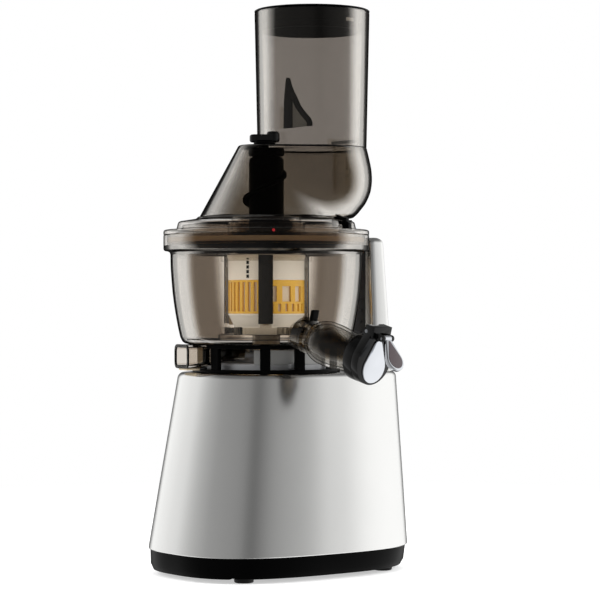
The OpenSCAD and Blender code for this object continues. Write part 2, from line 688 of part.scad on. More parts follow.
// Helical flight: rings of four points, root wide and tip thin, joined along the helix
function core_r(z) = z < 215 ? mix(21, 17, (z - 195) / 20) : z < 262 ? mix(17, 13.8, (z - 215) / 47) : 13.8;
function flight_edge(z) = z < 206 ? mix(22.6, flight_r, (z - 196) / 10) :
  z < 250 ? flight_r : z < 300 ? mix(flight_r, 18, (z - 250) / 50) : mix(18, 14.6, (z - 300) / 28);
function flight_points(z0, z1, start, steps) = [
  for (i = [0:steps]) let (z = mix(z0, z1, i / steps), a = start + 360 * (z - z0) / flight_pitch,
    ri = core_r(z) - 1.5, ro = flight_edge(z))
    for (q = [[ri, -2.4], [ro, -1], [ro, 1], [ri, 2.4]]) [q.x * cos(a), q.x * sin(a), z + q.y]];
function flight_faces(steps) = concat([[3, 2, 1, 0]],
  [for (i = [0:steps - 1], j = [0:3]) let (k = (j + 1) % 4)
    each [[4 * i + j, 4 * i + 4 + k, 4 * i + 4 + j], [4 * i + j, 4 * i + k, 4 * i + 4 + k]]],
  [[4 * steps, 4 * steps + 1, 4 * steps + 2, 4 * steps + 3]]);
module flight(z0, z1, start, steps) polyhedron(flight_points(z0, z1, start, steps), flight_faces(steps));
module auger() color("#232021") at_drum() difference() {
  union() {
    translate([0, 0, gear_z]) spur_gear(sun_teeth, brush_m, gear_h, 0.2);
    rotate_extrude() polygon([[0, gear_z + gear_h], [19, gear_z + gear_h], [21, 196], [17, 215], [13.8, 262],
      [13.8, 326], [11, 329], [5, 329], [5, 335], [0, 335]]);
    flight(199, 325, 0, 84);
    flight(199, 248, 180, 34);
  }
  translate([0, 0, gear_z - 1]) rotate(30) cylinder(r = (hex_af / 2 + 0.15) / cos(30), h = 44, $fn = 6);
  disc(shaft_r + 0.6, gear_z - 1, gear_z + 0.6);
}

// ---- Lid
lid_wall = 2.5;
gate_x = 32;
gate_z = 344;
lock_at = [-9, -10];
module at_lock() at_drum() translate(lock_at) children();
belly = [[31.4, 280], [36.2, 284], [39.5, 288], [42.6, 292], [45.2, 297], [47.3, 303], [48.3, 311],
  [47.8, 320],
  [46, 329], [tube_foot_r, shelf_z]];
module lid_body(inset) hull() {
  at_drum() translate([0, 0, 281 + inset])
    cylinder(r1 = 53 - inset, r2 = 22 - inset, h = shelf_z - 281 - 2 * inset, $fn = 48);
  at_tube() rotate_extrude($fn = 48) polygon(concat([[0, 280 + inset]],
    [for (p = belly) [p.x - inset, min(max(p.y, 280 + inset), shelf_z - inset)]], [[0, shelf_z - inset]]));
}
module lid_pan() at_drum() rotate_extrude() polygon([
  [27.5, 251.4], [30.5, 251.4], [30.5, 276.5], [52, 276.5], [66.6, 274.4], [67.6, 270], [74.6, 267.4],
  [74.6, 259], [77, 259], [77, rim_z], [rim_r, rim_z], [rim_r, 269.6], [rim_r - 1, 270.6],
  [71.2, 271.4], [70, 276.4],
  [68.8, 277.4], [56, 279.4], [54, 281.6], [27.5, 281.6]]);
// Inside of the feed tube, and with its wall the tube itself
module tube_cone(inset, z0, z1) at_tube() translate([0, 0, z0]) cylinder(
  r1 = mix(tube_foot_r, tube_r, (z0 - shelf_z) / (tube_top - shelf_z)) - inset,
  r2 = mix(tube_foot_r, tube_r, (z1 - shelf_z) / (tube_top - shelf_z)) - inset, h = z1 - z0);
module lid_housing() color(smoke) difference() {
  union() {
    difference() {
      lid_body(0);
      lid_body(lid_wall);
    }
    lid_pan();
    at_drum() disc(8, 329, shelf_z - 1);
  }
  tube_cone(tube_wall, shelf_z - lid_wall - 1, shelf_z + 1);
  at_drum() disc(27.5, 250, 284);
  at_drum() disc(5 + fit, 328, 335.2);
  at_lock() disc(3 + fit, shelf_z - 4, shelf_z + 1);
  at_drum() ring(78, 76, 260.5, 264.5);
  clip_shape();
  dot_plug(3);
}
module feed_tube() color(smoke) difference() {
  union() {
    difference() {
      tube_cone(0, shelf_z, tube_top);
      tube_cone(tube_wall, shelf_z - 1, tube_top + 1);
    }
    at_tube() mirrored_y() translate([gate_x + 0.6, 16, 340]) cube([4, 7, 8]);
  }
  at_tube() across_y(gate_x + 2.6, gate_z, 1.2, 36);
}
module lid_gasket() color(beige) at_drum() ring(78.2, 76, 260.5, 264.5);
module clip_shape() at_drum() rotate(-6) {
  translate([64, -5, 275]) cube([9, 10, 7]);
  translate([70, -4, 270]) cube([8, 8, 10]);
}
module lid_clip() color(dark) clip_shape();
module dot_plug(h) at_drum() rotate(-122.3) translate([rim_r - 0.8, 0, rim_z + 1.4])
  rotate([0, 90, 0]) cylinder(r = 1.1, h = h);
module alignment_dot() color("#b3262b") dot_plug(1);
module feed_fin() color("#2b2827") intersection() {
  at_tube() translate([-2.2, 0, 0]) rotate([90, 0, 90]) linear_extrude(4.4) polygon([
    [8, 351], [8.4, 357], [14, 362], [22, 370], [30, 381], [36, 394], [tube_r, 394], [tube_r, 351]]);
  tube_cone(tube_wall, shelf_z, tube_top);
}

module gate_pin() color(steel) at_tube() across_y(gate_x + 2.6, gate_z, 1.2, 36);
module flip_gate() color("#3c342f") at_tube() difference() {
  union() {
    across_y(gate_x + 2.6, gate_z, 2.6, 30);
    translate([gate_x - 0.2, -15, 302]) cube([2.4, 30, 42]);
    for (y = [-8, 8]) translate([gate_x - 3.5, y - 0.8, 306]) cube([3.5, 1.6, 34]);
  }
  across_y(gate_x + 2.6, gate_z, 1.2 + fit, 50);
}
module gate_lock() color(dark) at_lock() {
  disc(3, shelf_z - lid_wall - 0.5, shelf_z + 1);
  disc(4.4, shelf_z - lid_wall - 1.7, shelf_z - lid_wall - 0.2);
  disc(8.6, shelf_z + 0.2, shelf_z + 2.3);
  rotate(-37) {
    translate([0, 0, shelf_z + 1.3]) linear_extrude(6.6) {
      translate([-6.6, 0]) circle(r = 5.2);
      translate([6.6, 0]) circle(r = 5.2);
      translate([-6.6, -2.6]) square([13.2, 5.2]);
    }
    translate([6.6, 0, shelf_z + 7]) cylinder(r1 = 5.2, r2 = 3.4, h = 3.4);
  }
}
module chute_cap() color("#0d0d0d") at_tube() {
  translate([0, 0, 431]) difference() {
    cylinder(r1 = 42.5, r2 = 43, h = tube_top - 431);
    translate([0, 0, -1]) cylinder(r = 39.5, h = 12);
  }
  disc(tube_r, tube_top, tube_top + 1.4);
}

base_housing();
handle_column();
column_grip();
top_deck();
seat_hub();
bottom_cover();
rubber_feet();
motor_case();
motor_stator();
stator_windings();
shaft_bearings();
motor_rotor();
cooling_fan();
motor_pinion();
gearbox_case();
gearbox_lid();
counter_pin();
counter_gear();
output_gear();
drive_shaft();
motor_dampers();
control_board();
run_capacitor();
switch_bezel();
power_rocker();
cord_gland();
case_screws();
lid_switch();
juicing_bowl();
bowl_foot();
shaft_seal();
pulp_chute();
pulp_plug();
juice_spout();
spout_collar();
cap_pin();
cap_flap();
cap_plate();
cap_seal();
cap_lever();
lever_pin();
strainer_base_ring();
strainer_band();
strainer_top_ring();
strainer_mesh();
brush_frame();
brush_wipers();
brush_pinion_front();
brush_pinion_back();
auger();
lid_housing();
feed_tube();
lid_gasket();
lid_clip();
alignment_dot();
feed_fin();
gate_pin();
flip_gate();
gate_lock();
chute_cap();
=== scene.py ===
import json
import math

import bmesh
import bpy
import numpy as np
from mathutils import Matrix, Vector

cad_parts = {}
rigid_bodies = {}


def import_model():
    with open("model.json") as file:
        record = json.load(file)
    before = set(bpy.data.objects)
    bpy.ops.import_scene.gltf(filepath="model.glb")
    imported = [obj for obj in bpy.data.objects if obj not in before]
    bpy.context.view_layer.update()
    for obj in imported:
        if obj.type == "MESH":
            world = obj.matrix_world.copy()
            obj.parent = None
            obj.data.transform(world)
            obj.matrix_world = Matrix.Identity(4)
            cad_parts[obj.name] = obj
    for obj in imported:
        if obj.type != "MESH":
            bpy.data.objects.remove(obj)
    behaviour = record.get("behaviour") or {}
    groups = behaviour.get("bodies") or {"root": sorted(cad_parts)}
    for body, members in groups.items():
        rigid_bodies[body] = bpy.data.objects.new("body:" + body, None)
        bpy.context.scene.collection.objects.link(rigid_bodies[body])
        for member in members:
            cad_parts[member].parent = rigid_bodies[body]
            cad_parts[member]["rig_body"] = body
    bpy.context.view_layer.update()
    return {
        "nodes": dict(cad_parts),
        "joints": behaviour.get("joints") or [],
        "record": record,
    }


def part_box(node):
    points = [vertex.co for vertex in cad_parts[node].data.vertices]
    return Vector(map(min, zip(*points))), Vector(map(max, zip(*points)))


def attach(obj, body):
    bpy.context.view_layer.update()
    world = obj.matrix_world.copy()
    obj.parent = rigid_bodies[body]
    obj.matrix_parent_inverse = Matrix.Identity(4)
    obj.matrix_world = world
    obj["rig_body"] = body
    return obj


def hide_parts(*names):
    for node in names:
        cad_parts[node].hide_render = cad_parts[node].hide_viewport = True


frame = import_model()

# ---- Sizes: Blender's unit is the metre, and every size below is written in millimetres ----
MM = 0.001
NODES = frame["nodes"]
JOINTS = {joint["name"]: joint for joint in frame["joints"]}
SLOT_OF = {part["node"]: part["material_slot"] for part in frame["record"]["subparts"]}


def low(node):
    """Lowest corner of a CAD node."""
    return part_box(node)[0] / MM


def high(node):
    """Highest corner of a CAD node."""
    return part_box(node)[1] / MM


def plan_middle(node):
    """Middle of a CAD node seen from above."""
    centre = (low(node) + high(node)) / 2
    return Vector((centre.x, centre.y, 0))


DRUM = Vector(JOINTS["drive_spin"]["pos_m"]) / MM     # drive axis
TUBE = plan_middle("chute_cap")                       # axis of the feed tube
BASE = plan_middle("rubber_feet")                     # middle of the base
SHELL_Z = low("base_housing").z                       # lower edge of the silver shell
DECK_Z = high("base_housing").z                       # top of the shell and its deck
SHELL_WIDE, SHELL_DEEP = (high("base_housing") - low("base_housing")).xy
DECK_WIDE, DECK_DEEP, DECK_SHIFT = 178.0, 122.0, 9.0  # its outline up there, and its lean to the column
SQUARENESS = 2.8                                      # 2 is an ellipse, and a large number a rectangle
COLUMN_X = 77.0                                       # the handle column's face towards the bowl
COLUMN_TOP = high("handle_column").z
FLOOR_Z, PLATEAU_Z = 180.5, 188.0                     # the bowl's floor, outside and at its raised middle
RIM_Z = high("juicing_bowl").z                        # top of the bowl's rim
RIM_R = (high("juicing_bowl").x - low("juicing_bowl").x) / 2
SHELF_Z = high("lid_housing").z                       # the lid's shelf, where the feed tube stands
TUBE_TOP = high("feed_tube").z
TUBE_R, TUBE_FOOT_R, TUBE_WALL = 46.3, 43.9, 2.7      # feed tube: mouth, foot and wall


# ---- Materials ----
CLOUD_MM, RIPPLE_MM = 1000 / 28, 1000 / 45      # 28 changes of tone or 45 ripples in a metre of wall


def linear(code):
    """sRGB hex colour to linear RGBA."""
    parts = [int(code[i:i + 2], 16) / 255 for i in (1, 3, 5)]
    return tuple(c / 12.92 if c <= 0.04045 else ((c + 0.055) / 1.055) ** 2.4 for c in parts) + (1.0,)


def add(tree, kind, inputs=None, **settings):
    """Adds a node with its settings; an input is a value or another node's output."""
    made = tree.nodes.new(kind)
    for name, value in settings.items():
        setattr(made, name, value)
    for socket, value in (inputs or {}).items():
        if isinstance(value, bpy.types.NodeSocket):
            tree.links.new(value, made.inputs[socket])
        else:
            made.inputs[socket].default_value = value
    return made


def ramp(tree, factor, stops):
    """A colour ramp with (place, colour) stops in rising order; a plain number is a grey."""
    made = add(tree, "ShaderNodeValToRGB", {"Fac": factor})
    points = made.color_ramp.elements
    points.remove(points[1])
    points[0].position = stops[0][0]
    for place, _ in stops[1:]:
        points.new(place)
    for point, (_, colour) in zip(points, stops):
        point.color = colour if isinstance(colour, tuple) else (colour, colour, colour, 1.0)
    return made.outputs["Color"]


def new_material(name):
    """An empty material and its tree."""
    made = bpy.data.materials.new(name)
    made.use_nodes = True
    made.node_tree.nodes.clear()
    return made, made.node_tree


def moulded(name, colour, roughness, grain_mm, depth_mm, spread=0.06, **shader):
    """A moulded or cast surface: fine grain in its gloss and relief, and a slight change of tone."""
    made, tree = new_material(name)
    place = add(tree, "ShaderNodeTexCoord").outputs["Object"]
    grain = add(tree, "ShaderNodeTexNoise", {"Vector": place, "Scale": 1 / (grain_mm * MM), "Detail": 3.0})
    cloud = add(tree, "ShaderNodeTexNoise", {"Vector": place, "Scale": 1 / (CLOUD_MM * MM), "Detail": 2.0})
    base = linear(colour)
    dark = tuple(c * (1 - spread) for c in base[:3]) + (1.0,)
    light = tuple(min(1.0, c * (1 + spread)) for c in base[:3]) + (1.0,)
    tone = ramp(tree, cloud.outputs["Fac"], [(0.3, dark), (0.7, light)])
    gloss = add(tree, "ShaderNodeMapRange", {"Value": grain.outputs["Fac"], "To Min": roughness * 0.9,
                                             "To Max": roughness * 1.1})
    relief = add(tree, "ShaderNodeBump", {"Height": grain.outputs["Fac"], "Strength": 0.35,
                                          "Distance": depth_mm * MM})
    body = add(tree, "ShaderNodeBsdfPrincipled", {"Base Color": tone, "Roughness": gloss.outputs["Result"],
                                                  "Normal": relief.outputs["Normal"], **shader})
    add(tree, "ShaderNodeOutputMaterial", {"Surface": body.outputs["BSDF"]})
    return made


def smoked(name, face, side, mirror=(0.03, 0.42, 0.05), bend=(0.25, 0.40), rim=0.62, edge="#030202"):
    """Smoked clear copolyester, injection moulded. Face on it lets light through in one brown tone, and
    turned a little away in another. Its slanted sides mirror the room and show a lighter tone, which is
    painted highlight, and it is black where the wall is seen edge on. mirror holds its shares of mirroring
    from the front, at the sides and at the edge, bend where the mirroring and the painted highlight set in,
    and rim where the black edge does, from 0 face on to 1 edge on."""
    made, tree = new_material(name)
    front, sides, end = mirror
    start, full = bend
    facing = add(tree, "ShaderNodeLayerWeight", {"Blend": 0.5}).outputs["Facing"]
    # clear: the lighter tone let through on the slanted sides, which is painted highlight
    clear = tuple(0.22 * c + 0.78 for c in linear(side)[:3]) + (1.0,)
    colour = ramp(tree, facing, [(0.0, linear(face)), (0.10, linear(face)), (0.18, linear(side)),
                                 (start, linear(side)), (full, clear), (rim - 0.02, clear),
                                 (rim + 0.07, linear(edge)), (1.0, linear(edge))])
    share = ramp(tree, facing, [(0.0, front), (start, front), (full, sides), (rim, sides),
                                (rim + 0.08, end), (1.0, end)])
    film = add(tree, "ShaderNodeBsdfTransparent", {"Color": colour})
    place = add(tree, "ShaderNodeTexCoord").outputs["Object"]
    ripple = add(tree, "ShaderNodeTexNoise", {"Vector": place, "Scale": 1 / (RIPPLE_MM * MM), "Detail": 1.0})
    relief = add(tree, "ShaderNodeBump", {"Height": ripple.outputs["Fac"], "Strength": 0.12,
                                          "Distance": 0.2 * MM})
    gloss = add(tree, "ShaderNodeBsdfGlossy", {"Color": (0.97, 0.94, 0.89, 1.0), "Roughness": 0.06,
                                               "Normal": relief.outputs["Normal"]})
    both = add(tree, "ShaderNodeMixShader", {0: share, 1: film.outputs["BSDF"], 2: gloss.outputs["BSDF"]})
    add(tree, "ShaderNodeOutputMaterial", {"Surface": both.outputs["Shader"]})
    return made


FINISH = {
    # glass-filled nylon, moulded: black with a matt skin
    "auger_black": moulded("matt_black_nylon", "#020202", 0.5, 0.6, 0.02, **{"Specular IOR Level": 0.1}),
    # dark taupe lacquer over a moulded inlay
    "lever_face": moulded("taupe_lacquer", "#4b4345", 0.3, 0.6, 0.002),
    # the same as grey_plastic below, with a coarser texture that takes the shine away
    "seat_grey": moulded("textured_grey_abs", "#8a8a88", 0.45, 0.5, 0.03, **{"Specular IOR Level": 0.2}),
    # the strainer's fine mesh, etched from steel foil: pale, and matt as a whole
    "bright_mesh": moulded("etched_steel_mesh", "#eee4d2", 0.5, 0.4, 0.03, Metallic=0.2),
    # moulded polypropylene: milky grey
    "grey_web": moulded("grey_polypropylene", "#8c8c86", 0.5, 0.6, 0.01),
    # the spout and the pulp hood are moulded thicker, so they look browner
    "smoked_spout": smoked("amber_smoked_copolyester", "#9c9282", "#8f846f", (0.03, 0.15, 0.06), rim=0.76),
    "smoked_hood": smoked("brown_smoked_copolyester", "#ebe7e2", "#d8d1c9", (0.02, 0.3, 0.08)),
    # the bowl: its wall lets more light through face on
    "smoked_bowl": smoked("light_smoked_copolyester", "#f6f3ef", "#ccc6bf", bend=(0.37, 0.47), rim=0.74),
    # rims and the lid's pan, where many walls lie behind one another
    "smoked_rim": smoked("dark_smoked_copolyester", "#c6bdb3", "#c6bdb3", (0.02, 0.34, 0.05), (0.28, 0.44),
                         0.84),
    # the lid's body over the auger
    "smoked_lid": smoked("lid_smoked_copolyester", "#bcb7b1", "#c0bbb4", (0.006, 0.42, 0.04), (0.24, 0.45)),
    # thin clear mouldings inside: flip gate and its lugs, brush frame
    "smoked_thin": smoked("thin_smoked_copolyester", "#f2efea", "#f2efea", (0.02, 0.06, 0.05), (0.3, 0.5),
                          0.9, "#a09a92"),
    # dark smoked mouldings: strips of the brush, the shelf's edge, the step under the rim
    "smoked_dark": smoked("black_smoked_copolyester", "#4d453c", "#4d453c", (0.03, 0.5, 0.1)),
    # satin metallic lacquer over a moulded shell: soft reflections and hardly any grain
    "silver_paint": moulded("satin_silver_lacquer", "#fafaf8", 0.21, 0.5, 0.0006, 0.01, Metallic=1.0),
    # black ABS with a fine satin texture
    "black_plastic": moulded("satin_black_abs", "#020202", 0.3, 0.9, 0.004, **{"Specular IOR Level": 0.05}),
    # the same, from a polished mould
    "gloss_black": moulded("polished_black_abs", "#020202", 0.09, 1.2, 0.002,
                           **{"Specular IOR Level": 0.35}),
    # dark ABS with a fine spark-eroded texture
    "dark_plastic": moulded("textured_dark_abs", "#2b2a2b", 0.42, 0.45, 0.03),
    # mid-grey ABS with a satin texture
    "grey_plastic": moulded("satin_grey_abs", "#8b8c8e", 0.35, 0.45, 0.02),
    # the feed tube: an even tint, and bright where it mirrors and where its sides carry the painted highlight
    "smoked_plastic": smoked("smoked_copolyester", "#d2cfcc", "#d2cfcc", (0.03, 0.50, 0.04), (0.26, 0.42),
                             0.61),
    # moulded rubber: matt
    "black_rubber": moulded("moulded_black_rubber", "#141414", 0.7, 0.6, 0.05),
    # moulded silicone rubber: dull and even
    "beige_silicone": moulded("beige_silicone_rubber", "#c9b99f", 0.55, 0.7, 0.03),
    # turned and ground steel
    "steel": moulded("ground_steel", "#9fa2a6", 0.3, 0.3, 0.005, Metallic=1.0),
    # bright chrome over polished ABS
    "chrome": moulded("polished_chrome_plate", "#e6e9ee", 0.08, 1.2, 0.001, Metallic=1.0),
    # drawn copper wire under clear enamel
    "copper": moulded("enamelled_copper_wire", "#a4552b", 0.3, 0.5, 0.1, Metallic=0.8),
    # machined natural acetal: white, a little waxy
    "white_acetal": moulded("white_acetal", "#dcd9cf", 0.4, 0.5, 0.01),
    # amber polyetherimide, smooth from a polished mould
    "amber_polyetherimide": moulded("amber_polyetherimide", "#f8c650", 0.25, 0.8, 0.006, 0.1),
    # beige polypropylene with a satin mould finish
    "beige_plastic": moulded("beige_polypropylene", "#fffaf2", 0.4, 0.6, 0.01),
    # green solder resist over glass-fibre board
    "green_board": moulded("green_circuit_board", "#2f6b3c", 0.35, 0.5, 0.02),
    # red ABS with a satin skin
    "red_dot": moulded("red_marking_abs", "#8a1d22", 0.3, 0.5, 0.01, **{"Specular IOR Level": 0.1}),
    # die-cast aluminium, as cast
    "alloy_case": moulded("cast_aluminium", "#a9abae", 0.45, 0.5, 0.05, Metallic=1.0),
    # moulded natural nylon: off-white, a little waxy
    "fan_plastic": moulded("natural_nylon", "#e2dfd6", 0.4, 0.5, 0.02),
}

# the record's slot for each finish that isn't named after one
SLOT_NAMES = {finish: "smoked_plastic" for finish in FINISH if finish.startswith("smoked_")}
SLOT_NAMES.update(auger_black="black_plastic", gloss_black="black_plastic", lever_face="dark_plastic",
                  grey_web="grey_plastic", seat_grey="grey_plastic")

for node, shown in NODES.items():
    shown.data.materials.clear()
    shown.data.materials.append(FINISH["bright_mesh" if node == "strainer_mesh" else SLOT_OF[node]])


# ---- Shapes: each is (points in millimetres, faces) ----
def mix(a, b, t):
    """The value a share t of the way from a to b."""
    return a + (b - a) * t


def skin(rings, ends="caps"):
    """A surface through rings of equal length. ends: caps, open, or loop, back to the first ring."""
    count = len(rings[0])
    points = [p for line in rings for p in line]
    faces = []
    for i in range(len(rings) - (ends != "loop")):
        a, b = i * count, (i + 1) % len(rings) * count
        faces += [(a + j, a + (j + 1) % count, b + (j + 1) % count, b + j) for j in range(count)]
    if ends == "caps":
        faces += [tuple(range(count)), tuple(range(len(points) - count, len(points)))]
    return points, faces


def eased(corners, bend=0.8, steps=4):
    """A closed outline with each corner rounded; a third value in a corner is its own rounding."""
    line = []
    for i, corner in enumerate(corners):
        here = Vector(corner[:2])
        before = Vector(corners[i - 1][:2]) - here
        after = Vector(corners[(i + 1) % len(corners)][:2]) - here
        size = corner[2] if len(corner) > 2 else bend
        start = here + before.normalized() * min(size, before.length * 0.45)
        end = here + after.normalized() * min(size, after.length * 0.45)
        for k in range(steps + 1):
            t = k / steps
            line.append(tuple(start * (1 - t) ** 2 + here * 2 * t * (1 - t) + end * t * t))
    return line


def through(knots, steps=6):
    """A smooth line through knots, ends included."""
    knots = [Vector(k) for k in knots]
    line = []
    for i in range(len(knots) - 1):
        p1, p2 = knots[i], knots[i + 1]
        p0, p3 = knots[max(i - 1, 0)], knots[min(i + 2, len(knots) - 1)]
        for k in range(steps):
            t = k / steps
            line.append(tuple((p1 * 2 + (p2 - p0) * t + (p0 * 2 - p1 * 5 + p2 * 4 - p3) * t * t
                               + (p1 * 3 - p0 - p2 * 3 + p3) * t ** 3) / 2))
    return line + [tuple(knots[-1])]


def level_ring(centre, radius, z, steps=192):
    """A level circle."""
    turns = [math.tau * i / steps for i in range(steps)]
    return [(centre.x + radius * math.cos(a), centre.y + radius * math.sin(a), z) for a in turns]


def turned(profile, centre=Vector((0, 0, 0)), ends="loop", steps=144):
    """A profile of (radius, height) points turned about an upright axis."""
    return skin([level_ring(centre, radius, z, steps) for radius, z in profile], ends)


def rod(radius, z0, z1, centre=Vector((0, 0, 0)), edge=0.3, steps=48):
    """A round rod with eased ends."""
    edge = min(edge, radius / 2)
    profile = [(0, z0), (radius - edge, z0), (radius, z0 + edge),
               (radius, z1 - edge), (radius - edge, z1), (0, z1)]
    return turned(profile, centre, "open", steps)


def inset(outline, depth):
    """An outline moved inwards by depth."""
    moved = []
    for i, here in enumerate(outline):
        before, after = Vector(outline[i - 1]), Vector(outline[(i + 1) % len(outline)])
        along = (after - before).normalized()
        moved.append((here[0] - along.y * depth, here[1] + along.x * depth))
    return moved


def slab(outline, z0, z1, edge=0.5, steps=3):
    """An outline, walked counterclockwise, given a thickness with rounded edges."""
    bend = [math.pi / 2 * k / steps for k in range(steps + 1)]
    levels = [(z0 + edge * (1 - math.sin(a)), edge * (1 - math.cos(a))) for a in reversed(bend)]
    levels += [(z1 - edge * (1 - math.sin(a)), edge * (1 - math.cos(a))) for a in bend]
    levels = sorted(levels)
    return skin([[(x, y, z) for x, y in inset(outline, depth)] for z, depth in levels])


def block(low_corner, high_corner, edge=0.4):
    """A box with rounded edges."""
    (x0, y0, z0), (x1, y1, z1) = low_corner, high_corner
    return slab(eased([(x0, y0), (x1, y0), (x1, y1), (x0, y1)], edge * 1.6), z0, z1, edge)


def bent_patch(centre, r0, r1, z0, z1, a0, a1, edge=0.15):
    """A block bent round an upright axis, between two radii, heights and angles."""
    count = 8 + int((a1 - a0) / 4)
    turns = [math.radians(mix(a0, a1, k / count)) for k in range(count + 1)]
    line = [(centre.x + r1 * math.cos(a), centre.y + r1 * math.sin(a)) for a in turns]
    line += [(centre.x + r0 * math.cos(a), centre.y + r0 * math.sin(a)) for a in reversed(turns)]
    return slab(line, z0, z1, edge)


def wrapped(circles, steps=128):
    """The tight outline round several circles, each (x, y, radius), counterclockwise."""
    line = []
    for i in range(steps):
        way = Vector((math.cos(math.tau * i / steps), math.sin(math.tau * i / steps)))
        x, y, r = max(circles, key=lambda c: c[0] * way.x + c[1] * way.y + c[2])
        line.append((x + r * way.x, y + r * way.y))
    return line


def placed(shape, matrix):
    """A shape moved by a matrix in millimetres."""
    points, faces = shape
    return [tuple(matrix @ Vector(p)) for p in points], faces


# turns a slab's outline into one in Y and Z, with its thickness along X
OUTWARDS = Matrix(((0, 0, 1, 0), (1, 0, 0, 0), (0, 1, 0, 0), (0, 0, 0, 1)))


def turn_z(degrees):
    """A turn about the upright axis."""
    return Matrix.Rotation(math.radians(degrees), 4, "Z")


def about_drum(shape, degrees):
    """A shape drawn towards +X, turned about the drive axis."""
    return placed(shape, Matrix.Translation(DRUM) @ turn_z(degrees))


# ---- Pieces: named mesh objects that ride on a CAD body ----
def linked(name, data):
    """A new object in the scene."""
    thing = bpy.data.objects.new(name, data)
    bpy.context.scene.collection.objects.link(thing)
    return thing


def solid(name, shapes):
    """One mesh object from closed shapes."""
    made = bmesh.new()
    for points, faces in shapes:
        corners = [made.verts.new(Vector(p) * MM) for p in points]
        for face in faces:
            made.faces.new([corners[i] for i in face])
    bmesh.ops.remove_doubles(made, verts=made.verts, dist=1e-7)
    bmesh.ops.recalc_face_normals(made, faces=made.faces)
    mesh = bpy.data.meshes.new(name)
    made.to_mesh(mesh)
    made.free()
    return linked(name, mesh)


def bake_modifiers(thing):
    """Turns a piece and its modifiers into a plain mesh."""
    bpy.context.view_layer.update()
    fresh = bpy.data.meshes.new_from_object(thing.evaluated_get(bpy.context.evaluated_depsgraph_get()))
    thing.modifiers.clear()
    thing.data = fresh


def combine(thing, operation, shapes):
    """Cuts shapes out of a piece, or joins them to it."""
    tool = solid("tool", shapes)
    step = thing.modifiers.new("tool", "BOOLEAN")
    step.object, step.operation, step.solver = tool, operation, "EXACT"
    bake_modifiers(thing)
    bpy.data.objects.remove(tool)


def round_edges(mesh, width, crease=30):
    """Rounds every edge sharper than crease degrees."""
    made = bmesh.new()
    made.from_mesh(mesh)
    sharp = [line for line in made.edges
             if len(line.link_faces) == 2 and line.calc_face_angle(0) > math.radians(crease)]
    bmesh.ops.bevel(made, geom=sharp, offset=width * MM, segments=2, profile=0.6, affect="EDGES",
                    clamp_overlap=True)
    made.to_mesh(mesh)
    made.free()


def finished(thing, body, slot, stands_for=(), crease=32):
    """Gives a piece its finish, its shading and the body that it rides on."""
    mesh = thing.data
    mesh.materials.clear()
    mesh.materials.append(FINISH[slot])
    mesh.polygons.foreach_set("use_smooth", [True] * len(mesh.polygons))
    mesh.set_sharp_from_angle(angle=math.radians(crease))
    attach(thing, body)
    if stands_for:
        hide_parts(*stands_for)


def piece(name, body, slot, *shapes, stands_for=()):
    """A finished piece made from closed shapes."""
    finished(solid(name, shapes), body, slot, stands_for)


def softened(node, edge=0.3, slot=None):
    """A CAD node with its loose triangles joined and its edges rounded."""
    made = bmesh.new()
    made.from_mesh(NODES[node].data)
    bmesh.ops.remove_doubles(made, verts=made.verts, dist=1e-6)
    bmesh.ops.dissolve_limit(made, angle_limit=math.radians(0.6), verts=made.verts, edges=made.edges)
    mesh = bpy.data.meshes.new(node)
    made.to_mesh(mesh)
    made.free()
    round_edges(mesh, edge)
    finished(linked(node + "_moulding", mesh), NODES[node]["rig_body"], slot or SLOT_OF[node], (node,))


def grown(name, tree, values):
    """The plain mesh that a Geometry Nodes tree makes from its named inputs."""
    thing = linked(name, bpy.data.meshes.new(name))
    step = thing.modifiers.new("tree", "NODES")
    step.node_group = tree
    for item in tree.interface.items_tree:
        if item.in_out == "INPUT":
            step[item.identifier] = values[item.name]
    bake_modifiers(thing)
    return thing


def new_tree(name, inputs):
    """An empty Geometry Nodes tree with named inputs: their outputs, and the way to its end."""
    tree = bpy.data.node_groups.new(name, "GeometryNodeTree")
    tree.interface.new_socket("Geometry", in_out="OUTPUT", socket_type="NodeSocketGeometry")
    for label, kind in inputs.items():
        tree.interface.new_socket(label, in_out="INPUT", socket_type="NodeSocket" + kind)
    given = add(tree, "NodeGroupInput").outputs

    def close(geometry):
        real = add(tree, "GeometryNodeRealizeInstances", {"Geometry": geometry}).outputs["Geometry"]
        faced = add(tree, "GeometryNodeSetMaterial", {"Geometry": real, "Material": given["Finish"]})
        add(tree, "NodeGroupOutput", {"Geometry": faced.outputs["Geometry"]})

    return tree, given, close


def bar_ring_tree():
    """Upright bars set at even angles round an axis."""
    tree, given, close = new_tree("bar_ring", {"Bars": "Int", "First Angle": "Float", "Step": "Float",
                                               "Radius": "Float", "Height": "Float", "Axis": "Vector",
                                               "Size": "Vector", "Finish": "Material"})
    number = add(tree, "GeometryNodeInputIndex").outputs["Index"]
    angle = add(tree, "ShaderNodeMath", {0: number, 1: given["Step"], 2: given["First Angle"]},
                operation="MULTIPLY_ADD").outputs["Value"]
    spot = add(tree, "ShaderNodeCombineXYZ", {"X": given["Radius"], "Z": given["Height"]}).outputs["Vector"]
    turned_spot = add(tree, "ShaderNodeVectorRotate", {"Vector": spot, "Angle": angle},
                      rotation_type="Z_AXIS").outputs["Vector"]
    place = add(tree, "ShaderNodeVectorMath", {0: turned_spot, 1: given["Axis"]}, operation="ADD")
    points = add(tree, "GeometryNodePoints", {"Count": given["Bars"], "Position": place.outputs["Vector"]})
    bar = add(tree, "GeometryNodeMeshCube", {"Size": given["Size"]}).outputs["Mesh"]
    turn = add(tree, "ShaderNodeCombineXYZ", {"Z": angle}).outputs["Vector"]
    rows = add(tree, "GeometryNodeInstanceOnPoints", {"Points": points.outputs[0], "Instance": bar,
                                                      "Rotation": turn})
    close(rows.outputs["Instances"])
    return tree


